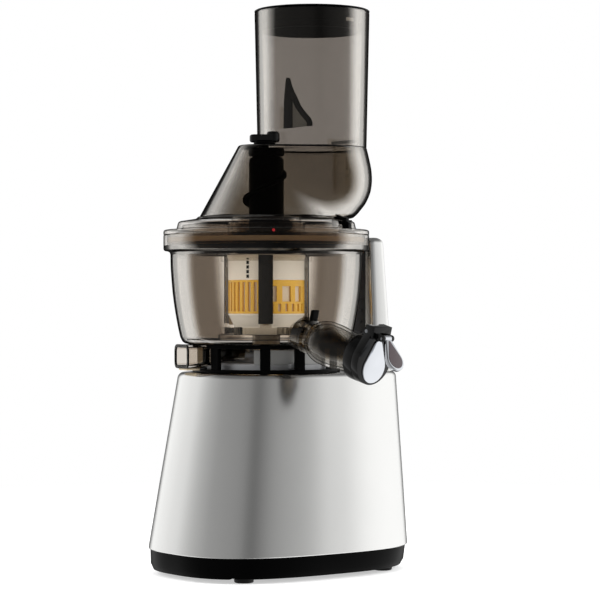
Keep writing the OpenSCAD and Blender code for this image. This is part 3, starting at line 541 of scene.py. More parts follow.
def flight_tree():
    """A screw flight: a tapered strip swept up a helix whose radius narrows above a given height."""
    tree, given, close = new_tree("screw_flight", {
        "Steps": "Int", "Turns": "Float", "Start": "Float", "Foot": "Float", "Top": "Float", "Wide": "Float",
        "Narrow": "Float", "Bend Height": "Float", "Axis": "Vector", "Width": "Float", "Finish": "Material"})
    number = add(tree, "GeometryNodeInputIndex").outputs["Index"]
    part = add(tree, "ShaderNodeMath", {0: number, 1: given["Steps"]}, operation="DIVIDE").outputs["Value"]
    height = add(tree, "ShaderNodeMapRange", {"Value": part, "To Min": given["Foot"],
                                              "To Max": given["Top"]})
    radius = add(tree, "ShaderNodeMapRange", {"Value": height.outputs["Result"],
                                              "From Min": given["Bend Height"], "From Max": given["Top"],
                                              "To Min": given["Wide"], "To Max": given["Narrow"]})
    whole = add(tree, "ShaderNodeMath", {0: given["Turns"], 1: math.tau},
                operation="MULTIPLY").outputs["Value"]
    angle = add(tree, "ShaderNodeMath", {0: part, 1: whole, 2: given["Start"]}, operation="MULTIPLY_ADD")
    spot = add(tree, "ShaderNodeCombineXYZ", {"X": radius.outputs["Result"], "Z": height.outputs["Result"]})
    wound = add(tree, "ShaderNodeVectorRotate", {"Vector": spot.outputs["Vector"],
                                                 "Angle": angle.outputs["Value"]},
                rotation_type="Z_AXIS").outputs["Vector"]
    place = add(tree, "ShaderNodeVectorMath", {0: wound, 1: given["Axis"]}, operation="ADD")
    line = add(tree, "GeometryNodeMeshLine", {"Count": given["Steps"]}).outputs["Mesh"]
    moved = add(tree, "GeometryNodeSetPosition", {"Geometry": line, "Position": place.outputs["Vector"]})
    curve = add(tree, "GeometryNodeMeshToCurve", {"Mesh": moved.outputs["Geometry"]}).outputs["Curve"]
    upright = add(tree, "GeometryNodeSetCurveNormal", {"Curve": curve}, mode="Z_UP").outputs["Curve"]
    half = add(tree, "ShaderNodeMath", {0: given["Width"], 1: 0.5}, operation="MULTIPLY").outputs["Value"]
    other = add(tree, "ShaderNodeMath", {0: half, 1: -1.0}, operation="MULTIPLY").outputs["Value"]
    corners = [add(tree, "ShaderNodeCombineXYZ", {"X": side, "Y": lift * MM}).outputs["Vector"]
               for side, lift in ((half, -FLIGHT_EDGE), (half, FLIGHT_EDGE),
                                  (other, FLIGHT_ROOT), (other, -FLIGHT_ROOT))]
    strip = add(tree, "GeometryNodeCurvePrimitiveQuadrilateral",
                {f"Point {i + 1}": corner for i, corner in enumerate(corners)},
                mode="POINTS").outputs["Curve"]
    swept = add(tree, "GeometryNodeCurveToMesh", {"Curve": upright, "Profile Curve": strip,
                                                  "Fill Caps": True})
    close(swept.outputs["Mesh"])
    return tree


# ---- Base: silver shell with the handle column, black tray, deck, hub and feet ----
SHELL_WALL, DECK_PLATE = 2.8, 3.0
PLUG_WIDE, PLUG_DEEP, PLUG_SHIFT = DECK_WIDE / 2 - 16, DECK_DEEP / 2 - 7, DECK_SHIFT - 6
FOOT_TOP = 3.6
SWITCH_Z, GLAND_X, GLAND_Z = 66.0, -45.0, 36.0
GRIP_LOW, GRIP_HIGH, GRIP_HALF, GRIP_DEEP = DECK_Z + 6.0, DECK_Z + 98.0, 14.0, 2.5
SCREW_X, SCREW_Y, FOOT_X, FOOT_Y = 80.0, 50.0, 68.0, 47.0
CORNERS = [(i, j) for i in (-1, 1) for j in (-1, 1)]
QUARTER = [math.pi / 2 * k / 8 for k in range(9)]     # the steps of a rounded edge


def squircle(half_x, half_y, centre, z, steps=224):
    """A level outline between an ellipse and a rectangle."""
    line = []
    for i in range(steps):
        c, s = math.cos(math.tau * i / steps), math.sin(math.tau * i / steps)
        line.append((centre.x + half_x * math.copysign(abs(c) ** (2 / SQUARENESS), c),
                     centre.y + half_y * math.copysign(abs(s) ** (2 / SQUARENESS), s), z))
    return line


def shell_rise(z):
    """0 at the shell's lower edge and 1 at its deck."""
    return (z - SHELL_Z) / (DECK_Z - SHELL_Z)


def shell_line(z, depth=0.0):
    """The base's outline at a height, pulled in by depth."""
    t = shell_rise(z)
    return squircle(mix(SHELL_WIDE, DECK_WIDE, t) / 2 - depth, mix(SHELL_DEEP, DECK_DEEP, t) / 2 - depth,
                    Vector((BASE.x + DECK_SHIFT * t, BASE.y)), z)


def plug_line(z, gap=0.0):
    """Outline of the opening in the shell's top, which the deck plate fills."""
    return squircle(PLUG_WIDE + gap, PLUG_DEEP + gap, Vector((BASE.x + PLUG_SHIFT, BASE.y)), z)


def column_line(z, depth=0.0):
    """The handle column's outline at a height: flat towards the bowl, slightly bowed outside."""
    half = mix(26, 20, (z - DECK_Z) / (COLUMN_TOP - DECK_Z)) - depth
    inner = COLUMN_X + depth
    outer = BASE.x + DECK_SHIFT * shell_rise(z) + mix(SHELL_WIDE, DECK_WIDE, shell_rise(z)) / 2 - depth
    corners = [(inner, -half), (outer - 1.5, -half), (outer, -half / 2, 9), (outer, half / 2, 9),
               (outer - 1.5, half), (inner, half)]
    return [(x, y + BASE.y, z) for x, y in eased(corners, 4.6, 8)]


def at_back(z):
    """A frame on the base's back, square to its slanting wall."""
    slope = math.atan2((SHELL_DEEP - DECK_DEEP) / 2, DECK_Z - SHELL_Z)
    back = Vector((BASE.x, BASE.y + mix(SHELL_DEEP, DECK_DEEP, shell_rise(z)) / 2, z))
    return Matrix.Translation(back) @ Matrix.Rotation(slope, 4, "X")


def make_shell():
    """The silver shell and its handle column, open for the deck, the grip, the gland and the switch."""
    under = DECK_Z - DECK_PLATE
    edge = [shell_line(DECK_Z - 4.4 + 4.4 * math.sin(a), 3.6 * (1 - math.cos(a))) for a in QUARTER]
    outside = [shell_line(SHELL_Z, 0.5), shell_line(SHELL_Z + 0.5, 0.1), shell_line(SHELL_Z + 1.2)] + edge
    inside = [plug_line(DECK_Z, 0.5), plug_line(DECK_Z - 0.3, 0.2), plug_line(under, 0.2),
              shell_line(under - 0.3, SHELL_WALL + 4), shell_line(under - 3, SHELL_WALL),
              shell_line(SHELL_Z, SHELL_WALL)]
    shell = solid("silver_body", [skin(outside + inside, "loop")])
    heights = [DECK_Z - 9 + (COLUMN_TOP - DECK_Z + 4) * k / 12 for k in range(13)]
    top = [column_line(COLUMN_TOP - 5 + 5 * math.sin(a), 5 * (1 - math.cos(a))) for a in QUARTER]
    combine(shell, "UNION", [skin([column_line(z) for z in heights] + top)])
    grip = block((COLUMN_X - 6, BASE.y - GRIP_HALF, GRIP_LOW),
                 (COLUMN_X + GRIP_DEEP, BASE.y + GRIP_HALF, GRIP_HIGH))
    gland = placed(rod(7, 0, 40), Matrix.Translation((BASE.x + GLAND_X, BASE.y + 50, GLAND_Z))
                   @ Matrix.Rotation(-math.pi / 2, 4, "X"))
    switch = placed(block((-15.2, -6, -10.2), (15.2, 6, 10.2)), at_back(SWITCH_Z))
    combine(shell, "DIFFERENCE", [grip, gland, switch])
    finished(shell, "base", "silver_paint", ("base_housing", "handle_column"))


def make_grip():
    """The dark inlay in the handle column, with its eight ribs."""
    line = eased([(-GRIP_HALF, GRIP_LOW), (GRIP_HALF, GRIP_LOW), (GRIP_HALF, GRIP_HIGH),
                  (-GRIP_HALF, GRIP_HIGH)], 2.5)
    panel = placed(slab(line, COLUMN_X, COLUMN_X + GRIP_DEEP, 0.5),
                   Matrix.Translation((0, BASE.y, 0)) @ OUTWARDS)
    ribs = [block((COLUMN_X - 0.6, BASE.y - 9, z), (COLUMN_X + 1, BASE.y + 9, z + 2.4))
            for z in (DECK_Z + 20 + 9 * i for i in range(8))]
    piece("grip_panel", "base", "dark_plastic", panel, *ribs, stands_for=("column_grip",))


def make_tray():
    """The black bottom tray with its vent slots and screw sinks, and the four rubber feet."""
    levels = [(FOOT_TOP, 8.5), (FOOT_TOP, 7.2), (FOOT_TOP + 0.4, 6.3), (FOOT_TOP + 5, 3.6),
              (SHELL_Z - 0.5, 1.6), (SHELL_Z, 2.0), (SHELL_Z, SHELL_WALL + 0.4),
              (SHELL_Z + 5, SHELL_WALL + 0.4), (SHELL_Z + 5, SHELL_WALL + 2.4), (FOOT_TOP + 2.6, 8.5)]
    tray = solid("bottom_tray", [skin([shell_line(z, depth) for z, depth in levels])])
    slots = [about_drum(block((18, -1.5, 0), (36, 1.5, 12)), degrees) for degrees in range(0, 360, 30)]
    sinks = [rod(4, 0, 8.6, BASE + Vector((SCREW_X * i, SCREW_Y * j, 0))) for i, j in CORNERS]
    combine(tray, "DIFFERENCE", slots + sinks)
    finished(tray, "base", "black_plastic", ("bottom_cover",))
    foot = [(0, 0.6), (3.4, 0.6), (3.8, 0), (6.3, 0), (7.1, 0.3), (7.5, 1), (7.5, FOOT_TOP), (6, FOOT_TOP),
            (6, FOOT_TOP + 1.2), (0, FOOT_TOP + 1.2)]
    feet = [turned(foot, BASE + Vector((FOOT_X * i, FOOT_Y * j, 0)), "open", 64) for i, j in CORNERS]
    piece("four_feet", "base", "black_rubber", *feet, stands_for=("rubber_feet",))


def make_deck():
    """The deck plate, the hub that the bowl sits on, and the low wall round it."""
    under = DECK_Z - DECK_PLATE
    plate = [plug_line(DECK_Z - 0.4), plug_line(DECK_Z, -0.4), level_ring(DRUM, 20, DECK_Z, 224),
             level_ring(DRUM, 20, under, 224), plug_line(under)]
    piece("deck_plate", "base", "black_plastic", skin(plate, "loop"), stands_for=("top_deck",))
    hub = eased([(8.1, 148.5), (20, 148.5), (20, DECK_Z), (47, DECK_Z), (47, 164.5), (45.5, 166), (25, 166),
                 (22, 169, 2), (22, 172.5), (20.5, 174), (8.1, 174)], 0.8)
    lugs = [about_drum(block((44, -4, 162), (51, 4, 166)), degrees) for degrees in (20, 100, 260)]
    piece("bowl_seat", "base", "grey_plastic", turned(hub, DRUM), *lugs, stands_for=("seat_hub",))
    piece("seat_wall", "base", "seat_grey", bent_patch(DRUM, 43.4, 46.8, 165, 176.5, 222, 482, 0.5))


# ---- Bowl with its foot, pulp outlet, spout and cap ----
ALONG_X = Matrix.Rotation(math.pi / 2, 4, "Y")        # lays an upright part along +X
SPOUT_TURN, SPOUT_FALL, LEVER_LEAN, PULP_TURN = -82, 15, 25, 166    # degrees
SPOUT = (Matrix.Translation(DRUM + Vector((-12.7, -71.2, PLATEAU_Z))) @ turn_z(SPOUT_TURN)
         @ Matrix.Rotation(math.radians(SPOUT_FALL), 4, "Y"))
PULP = Matrix.Translation(DRUM) @ turn_z(PULP_TURN)
NECK_R, MOUTH_R, SPOUT_WALL, SPOUT_LONG = 10.5, 14.3, 2.2, 64.0
WALL_TOP, STEP_TOP, RIM_WALL = 251.0, 258.2, 3.0


def make_bowl():
    """The clear bowl, the step and the rim at its top, and the boss that the spout's neck fits in."""
    wall = through([(68.2, 186), (69.8, 193), (71.6, 202.6), (73.1, 212), (74.3, 221.6), (75.1, 231),
                    (75.8, 241), (76, WALL_TOP)], 4)
    outer = [(17, FLOOR_Z), (62, FLOOR_Z), (64.6, FLOOR_Z + 0.6), (66.6, FLOOR_Z + 2.2)] + wall
    inner = [(r - 2.8, z) for r, z in reversed(wall)]
    floor = [(64.4, 184.6), (62.6, 184), (38.6, 184), (38, 184.6), (38, PLATEAU_Z - 0.6), (37.4, PLATEAU_Z),
             (11, PLATEAU_Z), (11, 174.6), (17, 174.6)]
    bowl = solid("clear_bowl", [turned(outer + inner + floor, DRUM)])
    combine(bowl, "DIFFERENCE", [placed(rod(NECK_R, -14, 6, steps=64), SPOUT @ ALONG_X)])
    finished(bowl, "bowl", "smoked_bowl", ("juicing_bowl",))
    rim = [(RIM_R, STEP_TOP), (RIM_R, RIM_Z - 0.8), (RIM_R - 0.8, RIM_Z), (RIM_R - 2.4, RIM_Z),
           (RIM_R - RIM_WALL, RIM_Z - 0.6), (RIM_R - RIM_WALL, 258.4)]
    piece("bowl_rim", "bowl", "smoked_rim", turned(rim, DRUM))
    step = [(73.2, WALL_TOP), (76, WALL_TOP), (76.5, 252.8), (78, 253.7), (80.4, 254.1), (81.2, 254.7),
            (RIM_R, 255.6), (RIM_R, STEP_TOP), (RIM_R - RIM_WALL, 258.4), (RIM_R - RIM_WALL, 257.4),
            (77.6, 256.4)]
    piece("rim_step", "bowl", "smoked_dark", turned(step, DRUM))
    boss = [(NECK_R + 0.05, -8), (NECK_R + 2.7, -6), (NECK_R + 2.7, 1.1), (NECK_R + 2.4, 1.4),
            (NECK_R + 0.05, 1.4)]
    piece("neck_boss", "bowl", "smoked_spout", placed(turned(boss, steps=64), SPOUT @ ALONG_X))


def make_bowl_foot():
    """The black foot ring that the bowl stands on: two rings with legs between, open at the pulp outlet."""
    rings = [turned(eased([(54, z0), (58.5, z0), (58.5, z1), (54, z1)], 0.6), DRUM)
             for z0, z1 in ((DECK_Z, DECK_Z + 2.8), (FLOOR_Z - 3, FLOOR_Z))]
    legs = [about_drum(block((54.2, -4, DECK_Z + 1), (58.1, 4, FLOOR_Z - 1)), degrees)
            for degrees in (5, 60, 112, 190, 233, 261, 303)]
    foot = solid("bowl_foot_ring", rings)
    combine(foot, "UNION", legs)
    combine(foot, "DIFFERENCE", [placed(block((30, -15.2, 161.5), (70, 15.2, 200)), PULP)])
    finished(foot, "bowl", "black_plastic", ("bowl_foot",))


def tunnel_line(x, depth):
    """The pulp outlet's round-cornered section at a distance from the drive axis."""
    floor = np.interp(x, [24, 40, 48, 54, 60, 80], [168.4, 167, 165.6, 163, 162, 162]) + depth
    half, roof = 15 - depth, FLOOR_Z - depth
    section = eased([(-half, floor), (half, floor), (half, roof), (-half, roof)], 5.5 - depth, 7)
    return [(x, y, z) for y, z in section]


def make_pulp_outlet():
    """The pulp outlet's clear hood, its browner throat under the bowl, and the black lip round its mouth."""
    for name, slot, reach, nodes in (("pulp_hood", "smoked_hood", (53, 56, 60, 66, 72), ("pulp_chute",)),
                                     ("pulp_throat", "smoked_spout", (24, 34, 42, 48, 53), ())):
        inside = [tunnel_line(x, 2.0) for x in reach]
        outside = [tunnel_line(x, 0.0) for x in reversed(reach)]
        piece(name, "bowl", slot, placed(skin(inside + outside, "loop"), PULP), stands_for=nodes)
    edge = ((70.6, 2.0), (70.9, 2.3), (71.7, 2.3), (72, 2.0), (72, 0.1), (71.7, -0.2), (70.9, -0.2),
            (70.6, 0.1))
    lip = skin([tunnel_line(x, depth) for x, depth in edge], "loop")
    piece("hood_lip", "bowl", "black_plastic", placed(lip, PULP))


def make_spout():
    """The juice spout, bellied between its neck and its mouth, with a tab on its neck."""
    belly = through([(11, 8), (13, 10), (14.9, 13), (16.3, 17), (16.9, 21), (17, 26), (16.9, 31), (16.3, 37),
                     (15.4, 44), (14.7, 51), (MOUTH_R, 57), (MOUTH_R, SPOUT_LONG)], 4)
    neck = [(NECK_R - SPOUT_WALL, -8), (NECK_R, -8), (NECK_R, 1.5), (NECK_R + 2.4, 1.5),
            (NECK_R + 2.7, 1.8), (NECK_R + 2.7, 3.7), (NECK_R + 2.4, 4), (NECK_R, 4.6)]
    inside = [(r - SPOUT_WALL, x) for r, x in reversed(belly)]
    pipe = turned(neck + belly + inside, steps=96)
    piece("clear_spout", "bowl", "smoked_spout", placed(pipe, SPOUT @ ALONG_X), stands_for=("juice_spout",))
    piece("neck_tab", "bowl", "black_plastic", placed(block((1.4, -3.8, 9), (4, 3.8, 21), 0.8), SPOUT))


def make_spout_cap():
    """The cap's bright plate and its lever with a dark inlay, then the collar, flap, pins and seal."""
    plate = wrapped([(0, -4.8, 11.6), (0, 12, 4.5)])
    front = SPOUT_LONG + 8
    piece("bright_plate", "cap", "chrome", placed(slab(plate, front, front + 1.2, 0.5), SPOUT @ OUTWARDS),
          stands_for=("cap_plate",))
    pivot = (SPOUT @ Matrix.Translation((SPOUT_LONG + 15.5, 0, 20))
             @ Matrix.Rotation(-math.radians(SPOUT_FALL + LEVER_LEAN), 4, "Y"))
    leaf = wrapped([(0, 0, 2.4), (0, -18, 8.3)])
    inlay = wrapped([(0, -3.6, 0.9), (0, -18, 6.7)])
    eye = placed(rod(2.4, -3.5, 3.5), pivot @ Matrix.Rotation(math.pi / 2, 4, "X"))
    lever = solid("lever_leaf", [placed(slab(leaf, -1.9, 1.7, 0.9, 4), pivot @ OUTWARDS)])
    combine(lever, "UNION", [eye])
    finished(lever, "lever", "chrome", ("cap_lever",))
    piece("lever_inlay", "lever", "lever_face", placed(slab(inlay, 1.2, 2.1, 0.35), pivot @ OUTWARDS))
    for node, edge, slot in (("spout_collar", 0.6, "gloss_black"), ("cap_flap", 0.9, "gloss_black"),
                             ("cap_pin", 0.3, None), ("lever_pin", 0.3, None), ("cap_seal", 0.3, None)):
        softened(node, edge, slot)


# ---- Strainer, brush and auger ----
BAND_Z, BAND_TOP, RING_TOP, STRAINER_R = 204.6, 231.0, 251.0, 30.2
FLIGHT_FOOT, FLIGHT_PITCH, FLIGHT_R, FLIGHT_STEPS = 199.0, 40.0, 19.4, 48    # steps in one turn
FLIGHT_WIDE, FLIGHT_EDGE, FLIGHT_ROOT = 10.0, 1.0, 2.4    # depth, and half the thickness outside and inside
MARKS_TURN, STRIPS_TURN = 205, 113    # degrees


def make_strainer():
    """The strainer's beige foot and crown, its amber band, and the dark marks on the crown."""
    profile = [(22.4, PLATEAU_Z), (25.6, PLATEAU_Z), (25.6, 194.6), (27, 197.5), (29.3, 202.4),
               (STRAINER_R, 203.4), (STRAINER_R, BAND_Z), (27, BAND_Z), (23.7, 196), (22.4, 194)]
    foot = solid("strainer_foot", [turned(eased(profile, 0.5), DRUM)])
    gaps = [rod(7.6, PLATEAU_Z - 2, 194, DRUM + Vector((0, 26 * side, 0))) for side in (-1, 1)]
    window = placed(block((20, -9, PLATEAU_Z - 2), (32, 9, PLATEAU_Z + 6)), PULP)
    combine(foot, "DIFFERENCE", gaps + [window])
    finished(foot, "bowl", "beige_plastic", ("strainer_base_ring",))
    softened("strainer_band", 0.25)
    crown = [(27, BAND_TOP), (STRAINER_R, BAND_TOP), (STRAINER_R, RING_TOP - 3), (31, RING_TOP - 2.4),
             (31, RING_TOP), (27, RING_TOP)]
    piece("strainer_crown", "bowl", "beige_plastic", turned(eased(crown, 0.5), DRUM),
          stands_for=("strainer_top_ring",))
    marks = [about_drum(block((29.8, -1.1, z), (30.5, 1.1, z + 2.6), 0.1), MARKS_TURN)
             for z in (232.6, 236.2, 239.8, 243.4, 247)]
    piece("crown_marks", "bowl", "black_plastic", *marks)


def make_brush():
    """The brush frame, with dark strips over the arms that carry the wipers."""
    softened("brush_frame", slot="smoked_thin")
    foot, top, radius, thick, wide = PLATEAU_Z + 8.6, RING_TOP - 0.4, 35.35, 1.1, 11.4
    strips = grown("brush_strips", bar_ring_tree(), {
        "Bars": 3, "First Angle": math.radians(STRIPS_TURN), "Step": math.tau / 3, "Radius": radius * MM,
        "Height": (foot + top) / 2 * MM, "Axis": tuple(DRUM * MM),
        "Size": tuple(Vector((thick, wide, top - foot)) * MM), "Finish": FINISH["smoked_dark"]})
    round_edges(strips.data, 0.2)
    finished(strips, "brush", "smoked_dark")


def make_auger():
    """The auger: its CAD body, a long core up to the lid, and two flights wound round it."""
    core = [(0, PLATEAU_Z + 5.6), (19, PLATEAU_Z + 5.6), (21, 196), (19.4, 202), (17.8, 209), (17, 215),
            (15.4, 235), (14.2, 252), (13.8, 262), (13.8, 325), (13.2, 327.4), (11, 329), (5.6, 329),
            (5, 329.6), (5, 334.4), (4.4, 335), (0, 335)]
    softened("auger", 0.15)
    tree = flight_tree()
    for name, start, top, narrow, bend in (("first_flight", 0.0, 325.0, 9.9, 250.0),
                                           ("second_flight", math.pi, 248.0, FLIGHT_R, 240.0)):
        turns = (top - FLIGHT_FOOT) / FLIGHT_PITCH
        flight = grown(name, tree, {
            "Steps": int(FLIGHT_STEPS * turns), "Turns": turns, "Start": start, "Foot": FLIGHT_FOOT * MM,
            "Top": top * MM, "Wide": FLIGHT_R * MM, "Narrow": narrow * MM, "Bend Height": bend * MM,
            "Axis": tuple(DRUM * MM), "Width": FLIGHT_WIDE * MM, "Finish": FINISH["auger_black"]})
        finished(flight, "auger", "auger_black", crease=50)
    piece("auger_core", "auger", "auger_black", turned(core, DRUM, "open", 96))


# ---- Lid: pan, body, feed tube and what is on them ----
LID_FOOT, LID_WALL = 281.0, 2.5
CATCH_TURN, KNOB_TURN = -157.5, -37                   # degrees
HOLE_R = TUBE_FOOT_R - TUBE_WALL                      # the tube's bore at the shelf
FIN_Z = 355.6                                         # foot of the fin in the tube
PLUG_FOOT = 431.0
# the slot in the plug's side: its angle, its height, half its width in degrees and half its height
SLOT_AT, SLOT_Z, SLOT_WIDE, SLOT_TALL = 278.0, 437.6, 8.0, 2.5
AT_TUBE = Matrix.Translation(TUBE) @ OUTWARDS
BELLY = through([(31.4, 280), (36.2, 284), (39.5, 288), (42.6, 292), (45.2, 297), (47.3, 303), (48.3, 311),
                 (47.8, 320), (46, 329), (TUBE_FOOT_R, SHELF_Z)], 6)


def lid_line(z, depth=0.0, steps=192):
    """The lid body's outline at a height: a cone over the auger, drawn together with the tube's belly."""
    t = min(max((z - LID_FOOT) / (SHELF_Z - LID_FOOT), 0.0), 1.0)
    share = np.linspace(0, 1, 90)
    radius = mix(mix(53, 22, t), np.interp(z, [p[1] for p in BELLY], [p[0] for p in BELLY]), share) - depth
    middle = mix(DRUM.x, TUBE.x, t)
    offset = mix(DRUM.x, TUBE.x, share) - middle
    line = []
    for i in range(steps):
        x, y = math.cos(math.tau * i / steps), math.sin(math.tau * i / steps)
        inside = radius ** 2 - (offset * y) ** 2
        reach = np.where(inside >= 0, offset * x + np.sqrt(np.maximum(inside, 0)), -1e9).max()
        line.append((middle + reach * x, DRUM.y + reach * y, z))
    return line


def make_lid():
    """The lid's body over the auger, its pan and catch, the auger's upper bearing and the shelf's edge."""
    heights = [LID_FOOT + 0.8 + (SHELF_Z - LID_FOOT - 2.4) * k / 30 for k in range(31)]
    outside = [lid_line(LID_FOOT, 1.2), lid_line(LID_FOOT + 0.2, 0.4)] + [lid_line(z) for z in heights]
    shoulder = [lid_line(SHELF_Z - 0.9, 0.15), lid_line(SHELF_Z - 0.3, 0.6), lid_line(SHELF_Z, 1.4)]
    mouth = [level_ring(TUBE, HOLE_R + 0.2, SHELF_Z), level_ring(TUBE, HOLE_R, SHELF_Z - 0.2),
             level_ring(TUBE, HOLE_R, SHELF_Z - LID_WALL)]
    inside = [lid_line(min(z, SHELF_Z - LID_WALL - 0.2), LID_WALL) for z in reversed(heights)]
    floor = [level_ring(DRUM, 30, LID_FOOT + 1.6), level_ring(DRUM, 30, LID_FOOT)]
    piece("lid_body", "lid", "smoked_lid", skin(outside + shoulder + mouth + inside + floor, "loop"),
          stands_for=("lid_housing",))
    pan = eased([(27.5, 251.4), (30.5, 251.4), (30.5, 276.5), (52, 276.5), (66.6, 274.4), (67.6, 270),
                 (74.6, 267.4), (74.6, 259), (77, 259), (77, RIM_Z, 0.1), (RIM_R, RIM_Z, 0.2), (RIM_R, 269.6),
                 (RIM_R - 1, 270.6), (71.2, 271.4), (70, 276.4), (68.8, 277.4), (56, 279.4), (54, 281.2),
                 (27.5, 281.2)], 0.7)
    piece("lid_pan", "lid", "smoked_rim", turned(pan, DRUM))
    catch = [(70.4, 270.7), (76, 270.7), (76, 274.8), (75.2, 275.8), (74, 276.4), (73.8, 278.6), (73, 279.4),
             (71, 279.6), (64.4, 282), (63.8, 281.3), (69.4, 277.8), (70.2, 276.6)]
    at_edge = Matrix.Translation((DRUM.x, DRUM.y, 0)) @ turn_z(CATCH_TURN) @ OUTWARDS
    piece("lid_catch", "lid", "black_plastic", placed(slab(catch, -2.4, 2.4, 0.25), at_edge))
    bush = eased([(5.3, 329.4), (13.6, 329.4), (14.2, 331), (14.2, SHELF_Z - 2.4), (5.3, SHELF_Z - 2.4)], 0.5)
    piece("bearing_bush", "lid", "auger_black", turned(bush, DRUM))
    edge = ((1.5, -0.05), (0.8, -0.05), (0.2, 0.3), (-0.05, 0.9), (-0.05, 1.6), (1.5, 1.6))
    border = [lid_line(SHELF_Z - drop, depth) for drop, depth in edge]
    piece("shelf_border", "lid", "smoked_dark", skin(border, "loop"))


def make_feed_tube():
    """The feed tube with the gate's two lugs, and the black plug in its mouth with a framed slot."""
    tube = [(TUBE_FOOT_R, SHELF_Z), (TUBE_R - 0.05, TUBE_TOP - 1.4), (TUBE_R - 0.4, TUBE_TOP - 0.4),
            (TUBE_R - 1.2, TUBE_TOP), (TUBE_R - TUBE_WALL + 0.8, TUBE_TOP),
            (TUBE_R - TUBE_WALL + 0.1, TUBE_TOP - 0.6), (HOLE_R, SHELF_Z)]
    piece("clear_tube", "lid", "smoked_plastic", turned(tube, TUBE), stands_for=("feed_tube",))
    lugs = [block((TUBE.x + 32.6, TUBE.y + y - 3.5, 340), (TUBE.x + 36.6, TUBE.y + y + 3.5, 348), 0.8)
            for y in (-19.5, 19.5)]
    piece("gate_lugs", "lid", "smoked_thin", *lugs)
    plug = [(0, TUBE_TOP + 1.4), (TUBE_R - 0.8, TUBE_TOP + 1.4), (TUBE_R, TUBE_TOP + 0.9),
            (TUBE_R, TUBE_TOP + 0.1), (43, TUBE_TOP), (42.7, 436.9), (42.2, 436.6), (42.2, 436.0),
            (42.6, 435.7), (42.5, PLUG_FOOT + 0.5), (42, PLUG_FOOT), (40, PLUG_FOOT),
            (39.5, PLUG_FOOT + 0.5), (39.5, 442), (0, 442)]
    piece("tube_plug", "plug", "black_plastic", turned(plug, TUBE, "open"), stands_for=("chute_cap",))
    sides = ((SLOT_TALL - 1.2, SLOT_TALL, -SLOT_WIDE, SLOT_WIDE),
             (-SLOT_TALL, 1.0 - SLOT_TALL, -SLOT_WIDE, SLOT_WIDE),
             (-SLOT_TALL, SLOT_TALL, -SLOT_WIDE, 1.6 - SLOT_WIDE),
             (-SLOT_TALL, SLOT_TALL, SLOT_WIDE - 3.2, SLOT_WIDE))
    rails = [bent_patch(TUBE, 42.6, 43.15, SLOT_Z + z0, SLOT_Z + z1, SLOT_AT + a0, SLOT_AT + a1)
             for z0, z1, a0, a1 in sides]
    piece("plug_slot_frame", "plug", "black_plastic", *rails)
    piece("plug_slot_insert", "plug", "white_acetal",
          bent_patch(TUBE, 42.5, 43.0, SLOT_Z - 1.6, SLOT_Z + 1.4, SLOT_AT - SLOT_WIDE + 1.6,
                     SLOT_AT + SLOT_WIDE - 3.2))


def make_fin():
    """The fin that splits the feed: its rib, the sloped border, the grey web between them and the root."""
    slope = [(25, 383.6), (22, 379.4), (17.6, 373), (11, 367), (4.4, 362.2), (2.2, 359), (2.2, FIN_Z)]
    under = [(4, FIN_Z), (4, 358.4), (5.6, 360), (12, 364.8), (18.9, 371), (23.4, 377.2), (25, 379.8)]
    rib = [(24.8, FIN_Z), (36.1, FIN_Z), (35.6, 378), (33.6, 392), (32.7, 396.2), (32, 396.8), (31.2, 395.8),
           (29.6, 391.6), (26.6, 386.2), (24.8, 383.4)]
    border = list(reversed(slope + under))
    web = [(25, 355.8), (25, 380)] + list(reversed(under[1:-1])) + [(4, 355.8)]
    root = [(36, 356), (42.4, 356), (42.6, 372), (42, 374), (40, 373), (36, 368)]
    for name, slot, line, half, edge, nodes in (("fin_rib", "black_plastic", rib, 2.0, 0.4, ("feed_fin",)),
                                                ("fin_border", "black_plastic", border, 2.0, 0.3, ()),
                                                ("fin_web", "grey_web", web, 1.0, 0.15, ()),
                                                ("fin_root", "smoked_thin", root, 1.4, 0.4, ())):
        piece(name, "lid", slot, placed(slab(line, -half, half, edge), AT_TUBE), stands_for=nodes)


def make_lid_fittings():
    """The lid's seal, its clip, mark and gate, and the knob that locks the gate."""
    gasket = eased([(76.1, 260.5), (78.2, 260.5), (78.2, 264.5), (76.1, 264.5)], 0.9)
    piece("lid_seal_ring", "lid", "beige_silicone", turned(gasket, DRUM), stands_for=("lid_gasket",))
    for node, edge, slot in (("lid_clip", 0.7, None), ("alignment_dot", 0.2, None), ("gate_pin", 0.2, None),
                             ("flip_gate", 0.4, "smoked_thin")):
        softened(node, edge, slot)
    pivot = Vector(JOINTS["lock_turn"]["pos_m"]) / MM
    spot = Matrix.Translation((pivot.x, pivot.y, SHELF_Z)) @ turn_z(KNOB_TURN)
    grip = slab(wrapped([(-6.6, 0, 5.2), (6.6, 0, 5.2)]), 1.6, 7.9, 1.9, 6)
    bump = turned([(5.2, 4), (5.2, 7.6), (5, 8.8), (4.4, 9.8), (3.4, 10.3), (2, 10.4), (0, 10.4)],
                  Vector((6.6, 0, 0)), "caps", 48)
    knob = solid("lock_knob", [placed(grip, spot)])
    combine(knob, "UNION", [placed(bump, spot)])
    finished(knob, "lock", "gloss_black", ("gate_lock",))
    stem = [placed(rod(radius, z0, z1), spot) for radius, z0, z1 in ((8.6, 0.2, 2.3), (3, -3, 1),
                                                                     (4.4, -4.2, -2.7))]
    piece("lock_stem", "lock", "black_plastic", *stem)


for make in (make_shell, make_grip, make_tray, make_deck, make_bowl, make_bowl_foot, make_pulp_outlet,
             make_spout, make_spout_cap, make_strainer, make_auger, make_lid, make_feed_tube, make_fin,
             make_lid_fittings, make_brush):
    make()
for node, edge in (("switch_bezel", 0.3), ("power_rocker", 0.5), ("cord_gland", 0.3), ("case_screws", 0.2),
                   ("brush_wipers", 0.3), ("shaft_seal", 0.3), ("pulp_plug", 0.4)):
    softened(node, edge)

